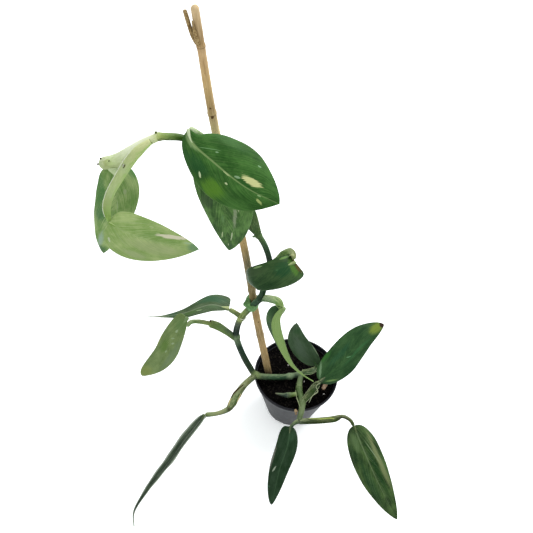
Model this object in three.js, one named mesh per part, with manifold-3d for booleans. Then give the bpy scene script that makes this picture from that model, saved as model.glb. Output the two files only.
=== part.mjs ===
// A young climbing Monstera standleyana in a nursery pot, tied to a bamboo cane.
// Millimetres, +Z up. The origin is the centre of the pot's base, and -Y is the front.

import * as THREE from "three";
import { mergeVertices } from "three/addons/utils/BufferGeometryUtils.js";
import Module from "manifold-3d";

const wasm = await Module();
wasm.setup();

// Driving dimensions

const GAP = 0.3; // clearance left between pieces that touch

const POT = {
  height: 78,
  rimRadius: 52.5,
  baseRadius: 32,
  wall: 1.2,
  lipOut: 0.8, // how far the rim stands out of the wall
  lipHeight: 4,
  drains: 8, // notches round the edge of the base
  drainWidth: 9,
  drainHeight: 3.5,
  sides: 48,
};

const SOIL = { level: 72, roughness: 0.9, rings: 6 };

const CANE = {
  // from its buried end to its top
  path: [[-25, 0, 12], [-35, 0, 72], [-57, 0, 187], [-81, 0, 328], [-116, 0, 491], [-138, 0, 632]],
  half: [4.4, 4.4, 4.3, 4, 4, 3.5],
  facing: [0, -1, 0],
  perSpan: 3,
  sides: 12,
  rings: [2.42, 3.15, 3.65, 4.15, 4.7], // its joints, as places along the path
  swell: 0.6,
  ringWidth: 3,
};

// Side branches cut off short at the cane's top joint
const CANE_BRANCHES = [
  {
    path: [[-134, -1, 592], [-139, -1, 602], [-146, -1, 627]],
    half: [2.4, 2, 1.8],
    facing: [0, -1, 0],
  },
  {
    path: [[-133, -2, 592], [-136, -4, 604], [-139, -5, 620]],
    half: [2.6, 1.8, 0.6],
    facing: [0, -1, 0],
  },
];

const MAIN_STEM = {
  // from the buried root end, over the left of the rim, up the cane and over to the left
  path: [
    [12, 9, 56], [11, 7, 68], [5, 1, 76], [-8, -6, 79], [-30, -12, 82], [-50, -14, 86], [-60, -12, 102],
    [-71, -10, 129], [-79, -8, 158], [-79, -8, 180], [-75, -9, 202], [-64, -9, 228],
    [-56, -10, 246], [-53, -8, 272], [-50, -6, 302], [-57, -5, 332], [-66, -5, 351],
    [-78, -8, 371], [-103, -15, 431], [-123, -17, 473], [-142, -19, 495], [-158, -20, 496],
    [-168, -20, 494],
  ],
  half: [
    3.4, 3.4, 3.6, 3.6, 3.8, 3.8, 3.8, 3.8, 3.8, 3.8, 3.7, 3.7,
    3.6, 3.5, 3.2, 3.2, 3.2, 3.2, 3, 2.9, 3.2, 3.7, 3.7,
  ],
  facing: [0, -0.6, 0.8],
  rings: [3, 5, 8, 10, 12, 14, 16, 18, 22], // its joints, as places along the path
  swell: 0.5,
  ringWidth: 2.5,
};

const FRONT_SHOOT = {
  // from the crown over the front of the rim
  path: [[8, 4, 72], [6, -4, 79], [5, -23, 81], [10, -44, 85], [10, -58, 84], [8, -68, 81]],
  half: [3, 3.3, 3.8, 4, 3.6, 3.4],
  facing: [1, 0, 0],
};

const SIDE_SHOOT = {
  // a short sheathed bud over the soil
  path: [[5, -29, 80], [-3, -32, 79], [-11, -34, 80], [-24, -35, 83]],
  half: [2.4, 3, 2.6, 0.8],
  facing: [0, 0, 1],
};

const ROOT_NUB = { path: [[-67, -7, 352], [-72, -10, 353]], half: [1.6, 1], facing: [0, 0, 1] };

// A soft ring clip round the cane and the stem, with a finger tab
const TIE = {
  centre: [-64.8, -4.6, 228],
  tilt: -10,
  outer: [7.8, 10.9], // half its width and length
  hole: [1, 8],
  height: 9,
  tab: [4, 4, 1.6],
};

// A chip of wood half sunk in the soil
const WOOD_CHIP = { centre: [37, -11, 73.5], size: [5, 10, 3], turn: -20, tip: 8 };

// How a blade is built. Along it there are stations, and its lines across are shares of the half-width.
const BLADE = { edge: 0.7, rib: 1.1, ribWidth: 2.5, stations: 13, crowd: 0.7, across: [0.12, 0.55, 1] };
const OUTLINE = [[0.4, 0.8], [0.4, 0.8]];
const NARROWEST = 0.04; // share of the half-width left at a blade's base and tip
const LOBE_END = 0.3; // share of the midrib beside which a basal lobe is swept back

// Leaves. A petiole runs from the stem to its blade, and is flat across its facing.
// A blade's spine is its midrib. Facing is the way the upper side looks, at base and tip.
// Half is the half-width left and right of the spine, seen from above with the tip ahead.
// Bend gives, for left and right, the half's angle in degrees at the midrib and at the margin.
// Outline gives, for left and right, how the margin leaves the base and meets the tip. Small is full.
// Lobe gives how far the left and right margins are swept back at the base.
// Under names a leaf whose petiole clasps this one's.
const OUT_AND_UP = [0, -0.6, 0.8];

const LEAVES = [
  {
    name: "leaf_a",
    petiole: {
      path: [[-165, -19.5, 495], [-180, -21, 484], [-192, -23, 473], [-205, -25, 461], [-222, -27, 455]],
      half: [3.9, 4.6, 5.6, 6.8, 6],
      depth: [3.6, 3.4, 3.4, 3.4, 3],
    },
    blade: {
      spine: [[-208, -28, 455], [-203, -38, 434], [-208, -50, 403], [-217, -58, 358]],
      facing: [[0, -0.75, 0.65], [0, -0.85, 0.5]],
      half: [21, 22],
      bend: [[5, -30], [5, -30]],
      outline: [[0.3, 0.8], [0.33, 0.65]],
    },
  },
  {
    name: "leaf_p",
    under: "leaf_a",
    petiole: {
      path: [
        [-173, -24, 491], [-183, -29, 482], [-191, -36, 472], [-198, -44, 461], [-206, -56, 447],
        [-208, -63, 437], [-206, -68, 422],
      ],
      half: [3, 5, 5.2, 4.6, 4.2, 4, 2.2],
      depth: [2.4, 3, 3, 2.8, 2.6, 2.2, 1.8],
    },
    blade: {
      spine: [[-206, -70, 423], [-184, -78, 420], [-150, -88, 425], [-117, -96, 433]],
      facing: [OUT_AND_UP, OUT_AND_UP],
      half: [20, 23],
      bend: [[0, -20], [0, -20]],
      outline: [[0.3, 0.8], [0.3, 0.9]],
    },
  },
  {
    name: "leaf_b",
    petiole: {
      path: [[-103, -15, 431], [-117, -19, 474], [-121, -38, 517], [-128, -44, 530], [-134, -49, 539]],
      half: [3.4, 3, 2.8, 3, 3.2],
      depth: [2.6, 2.4, 2.2, 2, 1.8],
    },
    blade: {
      spine: [[-135, -51, 541], [-131, -58, 534], [-110, -69, 523], [-79, -84, 512], [-49, -91, 504]],
      facing: [OUT_AND_UP, OUT_AND_UP],
      half: [32, 26],
      bend: [[5, -25], [5, -25]],
      outline: [[0.9, 0.75], [1, 1]],
    },
  },
  {
    name: "leaf_c",
    petiole: {
      path: [[-66, -5, 351], [-75, -11, 390], [-88, -18, 432], [-102, -27, 474], [-114, -32, 499]],
      half: [3.9, 5.4, 3.8, 2.8, 2.4],
      depth: [2.6, 2.6, 2.2, 2, 2],
    },
    blade: {
      spine: [[-114, -32, 498], [-107, -42, 474], [-98, -51, 432], [-92, -56, 385]],
      facing: [OUT_AND_UP, [0, -0.9, 0.45]],
      half: [29, 24],
      bend: [[10, -20], [10, -20]],
      outline: [[0.45, 0.65], [0.3, 0.85]],
    },
  },
  {
    name: "leaf_m",
    petiole: {
      path: [
        [-50, -6, 303], [-42, -4, 311], [-36, -5, 323], [-30, -8, 332], [-27, -12, 334], [-26, -15, 330],
      ],
      half: [3.6, 4.4, 5.4, 5, 3, 2.2],
      depth: [2.4, 2.4, 2.2, 2, 1.8, 1.6],
    },
    blade: {
      spine: [[-24, -16, 327], [-36, -24, 327], [-54, -30, 321], [-70, -30, 310], [-72, -22, 291]],
      facing: [OUT_AND_UP, [-0.6, -0.6, 0.5]],
      half: [21.5, 11.5],
      bend: [[0, -30], [0, -30]],
      outline: [[0.15, 0.5], [0.08, 0.25]],
      lobe: [10, 0],
    },
  },
  {
    name: "leaf_n",
    petiole: {
      path: [[-56, -10, 246], [-45, -18, 258], [-36, -25, 264], [-30, -33, 258]],
      half: [3.8, 4.4, 4.8, 3],
      depth: [2.4, 2.4, 2.2, 1.8],
    },
    blade: {
      spine: [
        [-29, -31, 263], [-32, -36, 249], [-24, -40, 212], [-10, -42, 170], [6, -40, 142], [19, -36, 124],
      ],
      facing: [[-1, -0.2, 0.2], [-1, 0, 0.3]],
      half: [11, 16],
      bend: [[70, 60], [70, 60]],
      outline: [[0.3, 1.6], [0.3, 1.6]],
    },
  },
  {
    name: "leaf_j",
    petiole: {
      path: [[-75, -9, 202], [-82, -9, 209], [-90, -9, 215]],
      half: [3.6, 3, 2.7],
      depth: [2.2, 2, 1.8],
    },
    blade: {
      spine: [[-90, -9, 216], [-111, -8, 218], [-142, -14, 203], [-165, -17, 196], [-184, -16, 190]],
      facing: [[0, 0.1, 1], [0, 0, 1]],
      half: [11.2, 15.5],
      bend: [[15, 0], [15, 0]],
      outline: [[0.8, 2], [0.12, 1.7]],
    },
  },
  {
    name: "leaf_k",
    petiole: {
      path: [
        [-79, -8, 154], [-90, -12, 172], [-102, -17, 190], [-113, -22, 201], [-125, -27, 209],
        [-131, -31, 212], [-135, -36, 210],
      ],
      half: [3.9, 4.1, 5, 4.6, 2.4, 2.6, 2.4],
      depth: [2.6, 2.4, 2.2, 2, 1.8, 1.8, 1.6],
    },
    blade: {
      spine: [[-135, -31, 220], [-149, -42, 193], [-161, -52, 165], [-184, -60, 129]],
      facing: [OUT_AND_UP, OUT_AND_UP],
      half: [14.2, 13.6],
      bend: [[5, -20], [5, -20]],
      outline: [[0.9, 0.8], [0.15, 0.35]],
    },
  },
  {
    name: "leaf_l",
    petiole: {
      path: [
        [-51, -15, 87], [-63, -34, 92], [-71, -54, 98], [-75, -69, 104], [-79, -79, 108], [-90, -88, 112],
        [-104, -93, 114],
      ],
      half: [3.9, 4.1, 5, 5, 3.4, 2.6, 3],
      depth: [3, 2.6, 2.4, 2.2, 2, 2, 2],
    },
    blade: {
      spine: [
        [-104, -93, 114], [-122, -122, 106], [-139, -145, 85], [-160, -171, 60], [-173, -192, 38],
        [-171, -204, 28],
      ],
      facing: [[0.2, -0.3, 1], [0.2, -0.3, 1]],
      half: [14, 12],
      bend: [[80, 75], [60, 50]],
      outline: [[0.4, 1.2], [0.4, 1.2]],
    },
  },
  {
    name: "leaf_q",
    petiole: {
      path: [[8, 4, 77], [18, 4, 82], [25, 7, 88], [24, 8, 92]],
      half: [3, 4, 3, 2.2],
      depth: [2.2, 2.2, 2, 1.8],
    },
    blade: {
      spine: [[24, 8, 90], [8, 14, 110], [-4, 18, 133], [-9, 20, 161]],
      facing: [[0.2, -1, 0.2], [0.2, -1, 0.2]],
      half: [15, 12],
      bend: [[20, 0], [20, 0]],
      outline: [[0.5, 0.55], [0.4, 0.9]],
    },
  },
  {
    name: "leaf_r",
    petiole: {
      path: [[10, -44, 86], [18, -34, 92], [24, -26, 98], [30, -21, 102]],
      half: [3.4, 4.6, 4.6, 2.4],
      depth: [2.4, 2.4, 2.2, 1.8],
    },
    blade: {
      spine: [[29, -22, 102], [51, -2, 118], [73, 25, 131], [100, 49, 138]],
      facing: [[0.1, -0.5, 0.85], [0.1, -0.5, 0.85]],
      half: [22, 18],
      bend: [[10, -10], [10, -30]],
      outline: [[0.4, 0.6], [0.45, 0.8]],
    },
  },
  {
    name: "leaf_f",
    under: "leaf_g",
    petiole: {
      path: [[8, -68, 81], [3, -71, 79], [-1, -75, 75]],
      half: [3, 2.4, 2],
      depth: [2.4, 2, 1.8],
    },
    blade: {
      spine: [[-1, -74, 76], [-2, -96, 66], [-8, -119, 48], [-12, -153, 20]],
      facing: [OUT_AND_UP, OUT_AND_UP],
      half: [12.5, 14],
      bend: [[5, -20], [5, -20]],
      outline: [[0.4, 0.8], [0.22, 0.5]],
    },
  },
  {
    name: "leaf_g",
    petiole: {
      path: [[9, -68, 80], [32, -64, 80.7], [51, -59, 80.5], [61, -55, 82], [71, -58, 80], [76, -62, 75]],
      half: [3.6, 3.9, 4.1, 2.5, 2.1, 2.1],
      depth: [3, 2.8, 2.6, 2.2, 1.9, 1.9],
    },
    blade: {
      spine: [[76, -62, 75], [94, -91, 60], [115, -121, 42], [141, -152, 20]],
      facing: [OUT_AND_UP, OUT_AND_UP],
      half: [20, 19.5],
      bend: [[5, -20], [5, -20]],
      outline: [[0.4, 0.8], [0.45, 0.75]],
    },
  },
];

// Curves and closed meshes

function curveThrough(points) {
  return new THREE.CatmullRomCurve3(points.map((p) => new THREE.Vector3(...p)), false, "centripetal");
}

function blend(a, b, share) {
  return a + (b - a) * share;
}

// Value between the entries of a list, at a place counted in entries
function valueAt(list, place) {
  const i = Math.min(Math.floor(place), list.length - 2);
  return blend(list[i], list[i + 1], place - i);
}

function geometryOf(points, indices) {
  const geometry = new THREE.BufferGeometry();
  const numbers = points.flatMap((p) => [p.x, p.y, p.z]);
  geometry.setAttribute("position", new THREE.Float32BufferAttribute(numbers, 3));
  geometry.setIndex(indices);
  return geometry;
}

// Closed skin over a row of rings with the same number of points, each end closed by a fan
function skin(rings) {
  const sides = rings[0].length;
  const points = rings.flat();
  const indices = [];
  for (let i = 0; i + 1 < rings.length; i++) {
    for (let j = 0; j < sides; j++) {
      const a = i * sides + j;
      const b = i * sides + ((j + 1) % sides);
      indices.push(a, b, b + sides, a, b + sides, a + sides);
    }
  }
  for (const end of [0, rings.length - 1]) {
    const centre = new THREE.Vector3();
    for (const p of rings[end]) centre.addScaledVector(p, 1 / sides);
    points.push(centre);
    for (let j = 0; j < sides; j++) {
      const a = end * sides + j;
      const b = end * sides + ((j + 1) % sides);
      indices.push(points.length - 1, ...(end === 0 ? [b, a] : [a, b]));
    }
  }
  return geometryOf(points, indices);
}

// Round or oval tube. half is its radius across the facing, depth its radius along the facing,
// and rings are places along the path where it swells.
function tube(form, grow = 0) {
  const { path, half, depth = half, facing, perSpan = 2, sides = 8 } = form;
  const { rings = [], swell = 0, ringWidth = 1 } = form;
  const curve = curveThrough(path);
  const spans = path.length - 1;
  const places = Array.from({ length: spans * perSpan + 1 }, (_, i) => i / perSpan);
  const swellings = rings.map((ring) => {
    const i = Math.min(Math.floor(ring), spans - 1);
    const reach = ringWidth / curve.points[i].distanceTo(curve.points[i + 1]);
    places.push(ring - reach, ring, ring + reach);
    return { ring, reach };
  });
  const stations = [...new Set(places)].filter((p) => p >= 0 && p <= spans).sort((a, b) => a - b);
  return skin(stations.map((place) => {
    const tangent = curve.getTangent(place / spans);
    const up = new THREE.Vector3(...facing).projectOnPlane(tangent).normalize();
    const across = new THREE.Vector3().crossVectors(up, tangent);
    let extra = grow;
    for (const { ring, reach } of swellings) {
      extra += swell * Math.max(0, 1 - Math.abs(place - ring) / reach);
    }
    const centre = curve.getPoint(place / spans);
    if (place === 0) centre.addScaledVector(tangent, -grow);
    if (place === spans) centre.addScaledVector(tangent, grow);
    return Array.from({ length: sides }, (_, j) => {
      const angle = (2 * Math.PI * j) / sides;
      return centre.clone()
        .addScaledVector(across, Math.cos(angle) * (valueAt(half, place) + extra))
        .addScaledVector(up, Math.sin(angle) * (valueAt(depth, place) + extra));
    });
  }));
}

function solidOf(geometry) {
  const bare = geometry.clone();
  bare.deleteAttribute("normal");
  bare.deleteAttribute("uv");
  const merged = mergeVertices(bare, 1e-4);
  return new wasm.Manifold(
    new wasm.Mesh({
      numProp: 3,
      vertProperties: new Float32Array(merged.attributes.position.array),
      triVerts: new Uint32Array(merged.index.array),
    }),
  );
}

function geometryOfSolid(solid) {
  const mesh = solid.getMesh();
  const geometry = new THREE.BufferGeometry();
  geometry.setAttribute("position", new THREE.BufferAttribute(new Float32Array(mesh.vertProperties), 3));
  geometry.setIndex(new THREE.BufferAttribute(new Uint32Array(mesh.triVerts), 1));
  geometry.computeVertexNormals();
  return geometry;
}

// Leaf blade

// Share of the full half-width at t along the midrib
function outlineShare(t, [base, tip]) {
  const widest = base / (base + tip);
  const share = (t ** base * (1 - t) ** tip) / (widest ** base * (1 - widest) ** tip);
  return Math.max(share, NARROWEST);
}

// Points from the midrib to one margin. side is -1 for the left and 1 for the right,
// and back is how far the margin is swept back towards the petiole.
function halfAcross({ centre, tangent, up, right }, side, width, bend, share, back) {
  const [inner, outer] = bend.map(THREE.MathUtils.degToRad);
  let [out, rise, last] = [0, 0, 0];
  return BLADE.across.map((s) => {
    const angle = inner + ((outer - inner) * (s + last)) / 2;
    out += Math.cos(angle) * (s - last) * width;
    rise += Math.sin(angle) * (s - last) * width;
    last = s;
    return {
      point: centre.clone().addScaledVector(right, side * out).addScaledVector(up, rise)
        .addScaledVector(tangent, -back * s * s),
      normal: up.clone().multiplyScalar(Math.cos(angle)).addScaledVector(right, -side * Math.sin(angle)),
      thick: BLADE.edge + BLADE.rib * share * Math.exp(-(((s * width) / BLADE.ribWidth) ** 2)),
    };
  });
}

function bladeSkin({ spine, facing, half, bend, outline = OUTLINE, lobe = [0, 0] }) {
  const curve = curveThrough(spine);
  const [faceBase, faceTip] = facing.map((f) => new THREE.Vector3(...f));
  const rings = [];
  for (let i = 0; i <= BLADE.stations; i++) {
    const even = i / BLADE.stations;
    const t = blend(even, (1 - Math.cos(Math.PI * even)) / 2, BLADE.crowd);
    const centre = curve.getPointAt(t);
    const tangent = curve.getTangentAt(t);
    const up = faceBase.clone().lerp(faceTip, t).projectOnPlane(tangent).normalize();
    const frame = { centre, tangent, up, right: new THREE.Vector3().crossVectors(tangent, up) };
    const [left, right] = [-1, 1].map((side, i) => {
      const share = outlineShare(t, outline[i]);
      const back = lobe[i] * share * Math.max(0, 1 - t / LOBE_END) ** 2;
      return halfAcross(frame, side, half[i] * share, bend[i], share, back);
    });
    const midrib = { point: centre, normal: up, thick: BLADE.edge + BLADE.rib };
    const line = [...left.reverse(), midrib, ...right];
    const upper = line.map(({ point }) => point);
    const lower = line.map(({ point, normal, thick }) => point.clone().addScaledVector(normal, -thick));
    rings.push([...upper, ...lower.reverse()]);
  }
  return skin(rings);
}

// Sub-parts

function potSolid() {
  const { height, rimRadius, baseRadius, wall, lipOut, lipHeight } = POT;
  const wallTop = rimRadius - lipOut;
  const profile = [
    [0, 0], [baseRadius - 1, 0], [baseRadius, 1], [wallTop - 0.8, height - lipHeight - 0.8],
    [rimRadius, height - lipHeight], [rimRadius, height - 0.6], [rimRadius - 0.6, height],
    [wallTop - wall + 0.4, height], [wallTop - wall, height - 0.6],
    [baseRadius - wall, wall], [0, wall],
  ].map(([r, z]) => new THREE.Vector2(r, z));
  let pot = solidOf(new THREE.LatheGeometry(profile, POT.sides).rotateX(Math.PI / 2));
  for (let i = 0; i < POT.drains; i++) {
    const notch = new THREE.BoxGeometry(POT.drainWidth, POT.drainWidth, POT.drainHeight);
    notch.translate(baseRadius, 0, POT.drainHeight / 2 - 1);
    notch.rotateZ((2 * Math.PI * (i + 0.5)) / POT.drains);
    pot = pot.subtract(solidOf(notch));
  }
  return pot;
}

function caneSolid(grow = 0) {
  let cane = solidOf(tube(CANE, grow));
  for (const branch of CANE_BRANCHES) cane = cane.add(solidOf(tube(branch, grow)));
  return cane;
}

function stemSolid(grow = 0) {
  let stem = solidOf(tube(MAIN_STEM, grow));
  for (const part of [FRONT_SHOOT, SIDE_SHOOT, ROOT_NUB]) stem = stem.add(solidOf(tube(part, grow)));
  return stem;
}

function soilSolid() {
  const { wall, baseRadius, rimRadius, lipOut, height } = POT;
  const inner = (z) => blend(baseRadius, rimRadius - lipOut, z / height) - wall - 2 * GAP;
  const profile = [[0, wall + GAP], [inner(wall), wall + GAP], [inner(SOIL.level), SOIL.level]];
  for (let i = SOIL.rings - 1; i >= 0; i--) {
    profile.push([(inner(SOIL.level) * i) / SOIL.rings, SOIL.level]);
  }
  const soil = new THREE.LatheGeometry(profile.map(([r, z]) => new THREE.Vector2(r, z)), POT.sides);
  soil.rotateX(Math.PI / 2);
  const points = soil.attributes.position;
  for (let i = 0; i < points.count; i++) {
    const [x, y, z] = [points.getX(i), points.getY(i), points.getZ(i)];
    if (z > SOIL.level - 1 && Math.hypot(x, y) < inner(SOIL.level) - 1) {
      const bump = Math.sin(x * 0.9 + y * 0.5) + Math.sin(y * 0.8 - x * 0.35 + 2);
      points.setZ(i, z + (SOIL.roughness * bump) / 2);
    }
  }
  return solidOf(soil);
}

function tieSolid() {
  const { centre, tilt, outer, hole, height, tab } = TIE;
  const ring = new THREE.Shape().absellipse(0, 0, ...outer, 0, 2 * Math.PI);
  ring.holes.push(new THREE.Path().absellipse(0, 0, ...hole, 0, 2 * Math.PI));
  const clip = new THREE.ExtrudeGeometry(ring, { depth: height, bevelEnabled: false, curveSegments: 12 });
  clip.translate(0, 0, -height / 2);
  const finger = new THREE.BoxGeometry(...tab).translate(-outer[0], -2, -2);
  const place = new THREE.Matrix4().makeRotationY(THREE.MathUtils.degToRad(tilt)).setPosition(...centre);
  return solidOf(clip.applyMatrix4(place)).add(solidOf(finger.applyMatrix4(place)));
}

function chipSolid(grow = 0) {
  const { centre, size, turn, tip } = WOOD_CHIP;
  const chip = new THREE.BoxGeometry(...size.map((length) => length + 2 * grow));
  chip.rotateX(THREE.MathUtils.degToRad(tip)).rotateZ(THREE.MathUtils.degToRad(turn));
  chip.translate(...centre);
  return solidOf(chip);
}

function petioleSolid(petiole, grow = 0) {
  return solidOf(tube({ ...petiole, facing: OUT_AND_UP }, grow));
}

// A leaf whose petiole clasps the stem. Slivers that the stem cuts off are dropped.
function leafSolid({ petiole, blade, under }, stemRoom) {
  let leaf = petioleSolid(petiole).add(solidOf(bladeSkin(blade))).subtract(stemRoom);
  if (under) {
    const outer = LEAVES.find(({ name }) => name === under);
    leaf = leaf.subtract(petioleSolid(outer.petiole, GAP));
  }
  return leaf.decompose().reduce((a, b) => (a.volume() > b.volume() ? a : b));
}

function material(color, roughness) {
  return new THREE.MeshStandardMaterial({ color, roughness, metalness: 0 });
}

const MATERIALS = {
  pot: material(0x2b2c2e, 0.55),
  soil: material(0x1f1a17, 0.95),
  cane: material(0xc2a878, 0.6),
  tie: material(0x68ba6e, 0.5),
  chip: material(0xb9987a, 0.8),
  stem: material(0x2c4b35, 0.5),
  leaf: material(0x2f6b2c, 0.45),
};

const group = new THREE.Group();

function addPiece(name, solid, finish) {
  const mesh = new THREE.Mesh(geometryOfSolid(solid), finish);
  mesh.name = name;
  group.add(mesh);
}

const stemRoom = stemSolid(GAP);
const caneRoom = caneSolid(GAP);

addPiece("pot", potSolid(), MATERIALS.pot);
const bareSoil = soilSolid().subtract(stemRoom).subtract(caneRoom).subtract(chipSolid(GAP));
addPiece("soil", bareSoil, MATERIALS.soil);
addPiece("wood_chip", chipSolid(), MATERIALS.chip);
addPiece("cane", caneSolid(), MATERIALS.cane);
addPiece("stem", stemSolid(), MATERIALS.stem);
addPiece("tie", tieSolid().subtract(stemRoom).subtract(caneRoom), MATERIALS.tie);
for (const leaf of LEAVES) {
  addPiece(leaf.name, leafSolid(leaf, stemRoom), MATERIALS.leaf);
}

export default group;
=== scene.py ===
"""A young climbing Monstera standleyana in a nursery pot, clipped to a bamboo cane.

Every part of the plant is rebuilt here with its fine form: veined blades, sheathed petioles,
a ringed stem, crumbly soil. Lengths in the tables are millimetres in the plant's own frame,
and MM turns them into metres.
"""

import math

import bmesh
import bpy
import numpy as np
from mathutils import Matrix, Vector


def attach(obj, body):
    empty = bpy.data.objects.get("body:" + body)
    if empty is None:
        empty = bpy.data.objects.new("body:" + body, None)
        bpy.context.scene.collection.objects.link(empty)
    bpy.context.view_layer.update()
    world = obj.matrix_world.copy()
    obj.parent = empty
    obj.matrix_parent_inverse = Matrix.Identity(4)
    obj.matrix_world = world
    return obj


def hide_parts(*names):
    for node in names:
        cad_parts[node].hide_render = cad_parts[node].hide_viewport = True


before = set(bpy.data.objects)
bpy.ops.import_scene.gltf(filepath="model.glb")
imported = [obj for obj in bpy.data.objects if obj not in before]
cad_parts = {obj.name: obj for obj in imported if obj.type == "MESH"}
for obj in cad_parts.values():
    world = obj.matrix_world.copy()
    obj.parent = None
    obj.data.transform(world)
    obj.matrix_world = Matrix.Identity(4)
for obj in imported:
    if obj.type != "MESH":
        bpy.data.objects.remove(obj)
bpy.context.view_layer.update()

MM = 0.001

# Camera, as the photograph was taken

CAMERA_AT = (-53.6, -654.1, 1160.3)
CAMERA_DOWN = 53  # degrees below the horizon
CAMERA_ROLL = 7
IMAGE_WIDTH = 533
FOCAL_PIXELS = 1000
SENSOR = 36

# Studio, in metres

LIGHTS = [  # name, place, width, power
    ("key", (0.9, 1.1, 2.3), 1.4, 58),
    ("fill", (-1.6, -1.2, 1.8), 1.6, 7),
]
LIGHT_AIM = (-0.05, 0, 0.25)
SKY_STRENGTH = 0.95
FLOOR_HALF = 4.0
FLOOR_DROP = 0.0003  # just below the pot, so that the two don't touch
FLOOR_GLOW = 0.3  # a light table's own light, which softens shadows

# Pot, soil and holder

POT = dict(height=78, rim=52.5, base=32, wall=1.2, lip_out=0.8, lip=4)
POT_DRAINS = dict(count=8, width=9, height=3.5)
SOIL_LEVEL = 72
SOIL_GAP = 0.5  # between the soil and the pot's wall
SOIL_RINGS = 60
POT_SIDES, SOIL_SIDES = 192, 160
CRUMBS = 900
CRUMB_SIZES = (0.4, 1.3)
CRUMB_MARGIN = 1.5  # free of crumbs, along the wall
CLOD_ROWS, CLOD_SIDES = 6, 8
PERLITE = [  # x, y, size
    (-11, 14, 1.3), (11, -7, 1.1), (37, -22, 1.5), (-38, 10, 0.8), (20, 30, 0.9), (-20, -28, 0.7),
    (30, 25, 0.6),
]

# Cane, stem and shoots: a path, its half-widths by point and the places of its joints, which rings names.
# Tones are colours by place. A place counts the path's points passed.

CANE = dict(
    path=[(-25, 0, 12), (-35, 0, 72), (-57, 0, 187), (-81, 0, 328), (-116, 0, 491), (-138, 0, 632)],
    half=[4.4, 4.4, 4.3, 4, 4, 3.5], facing=(0, -1, 0), rings=[1.75, 2.42, 3.15, 3.65, 4.15, 4.7],
)
CANE_TONES = [
    (0, 0x72654F), (1, 0x72654F), (1.2, 0x8E7A56), (1.6, 0xA48C64), (1.8, 0x857250), (2, 0xA0885F),
    (2.4, 0x7C6F4D), (2.8, 0x66644C), (3, 0xA0895A), (4, 0xD2C290), (4.2, 0xA08860), (4.4, 0xBCA170),
    (4.65, 0xC0A278), (4.75, 0x957A54), (5, 0xCCB48C),
]
CANE_BRANCHES = [
    dict(path=[(-134, -1, 592), (-139, -1, 602), (-146, -1, 627)], half=[2.4, 2, 1.8]),
    dict(path=[(-133, -2, 592), (-136, -4, 604), (-139, -5, 620)], half=[2.6, 1.8, 0.6]),
]
TIE = dict(
    centre=(-64.8, -4.6, 228), tilt=-10, outer=(7.8, 10.9), hole=(1, 8), height=9,
    tab=2.6, tab_at=195, tab_spread=0.2, tab_thinner=0.45,
)
WOOD_CHIP = dict(centre=(37, -11, 73.5), size=(5, 10, 3), turn=-20, tip=8)

OUT_AND_UP = (0, -0.6, 0.8)
PAINTED_LIGHT_FROM = (-0.15, 0.5, 0.85)  # where the painted light comes from: stems and petioles are painted paler on that side and darker on the other

MAIN_STEM = dict(
    path=[
        (12, 9, 56), (11, 7, 68), (5, 1, 76), (-8, -6, 79), (-30, -12, 82), (-50, -14, 86), (-60, -12, 102),
        (-71, -10, 129), (-79, -8, 158), (-79, -8, 180), (-75, -9, 202), (-64, -9, 228), (-56, -10, 246),
        (-53, -8, 272), (-50, -6, 302), (-57, -5, 332), (-66, -5, 351), (-78, -8, 371), (-103, -15, 431),
        (-123, -17, 473), (-142, -19, 495), (-158, -20, 496), (-168, -20, 494),
    ],
    half=[3.4, 3.4, 3.6, 3.6] + [3.8] * 6 + [3.7, 3.7, 3.6, 3.5] + [3.2] * 4 + [3, 2.9, 3.2, 3.7, 3.7],
    rings=[3, 5, 8, 10, 12, 14, 16, 18, 21.9],
)
STEM_TONES = [
    (0, 0x64795B), (2, 0x64795B), (2.6, 0x38443A), (2.9, 0x66785E), (3.1, 0x66785E), (3.3, 0x2F4434),
    (4, 0x384E3A), (4.6, 0x44523E), (5, 0x76865A), (5.35, 0x76865A), (5.7, 0x364232), (7.4, 0x2B3D32),
    (7.7, 0x5A6E54), (8.1, 0x748A66), (8.4, 0x24332D), (8.9, 0x2E3A34), (9.5, 0x5A6556), (9.9, 0x98A868),
    (10.4, 0x809058), (11, 0x3A5440), (12.2, 0x304432), (13.2, 0x2C4628), (13.9, 0x385036),
    (14.1, 0x587448), (14.3, 0x2A3A2C), (15.2, 0x3C563C), (16, 0x50683F), (19.8, 0x30491F),
    (20.3, 0x34501F), (20.8, 0x6C8449), (21.4, 0x8B9B59), (22, 0xB4C080),
]
FRONT_SHOOT = dict(
    path=[(8, 4, 72), (6, -4, 79), (5, -23, 81), (10, -44, 85), (10, -58, 84), (8, -68, 81)],
    half=[3, 3.3, 3.8, 4, 3.6, 3.4], facing=(1, 0, 0), rings=[2, 3.1],
)
FRONT_TONES = [
    (0, 0x5E7456), (1, 0x5E7456), (1.5, 0x70835A), (1.9, 0x7D9160), (2.1, 0x4E6838), (2.7, 0x50693B),
    (2.95, 0x6C7E54), (3.2, 0x64774C), (3.75, 0x77885F), (4.5, 0x61724D), (5, 0x6E7E5E),
]
SIDE_SHOOT = dict(
    path=[(5, -29, 80), (-3, -32, 79), (-11, -34, 80), (-24, -35, 83)],
    half=[2.4, 3, 2.6, 0.8], facing=(0, 0, 1), rings=[1.6],
)
SIDE_TONES = [
    (0, 0x506A3A), (0.4, 0x93A86C), (0.9, 0x5A6E3C), (1.8, 0x505C4B), (2, 0x33403A), (2.6, 0x4A5345),
    (3, 0x6A6858),
]
ROOT_NUB = dict(path=[(-67, -7, 352), (-72, -10, 353)], half=[1.6, 1], facing=(0, 0, 1))

# Sheath edges and folds, as thin raised lines on the stem, the shoots and some petioles:
# half-width, dark and light tone, path.

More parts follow.
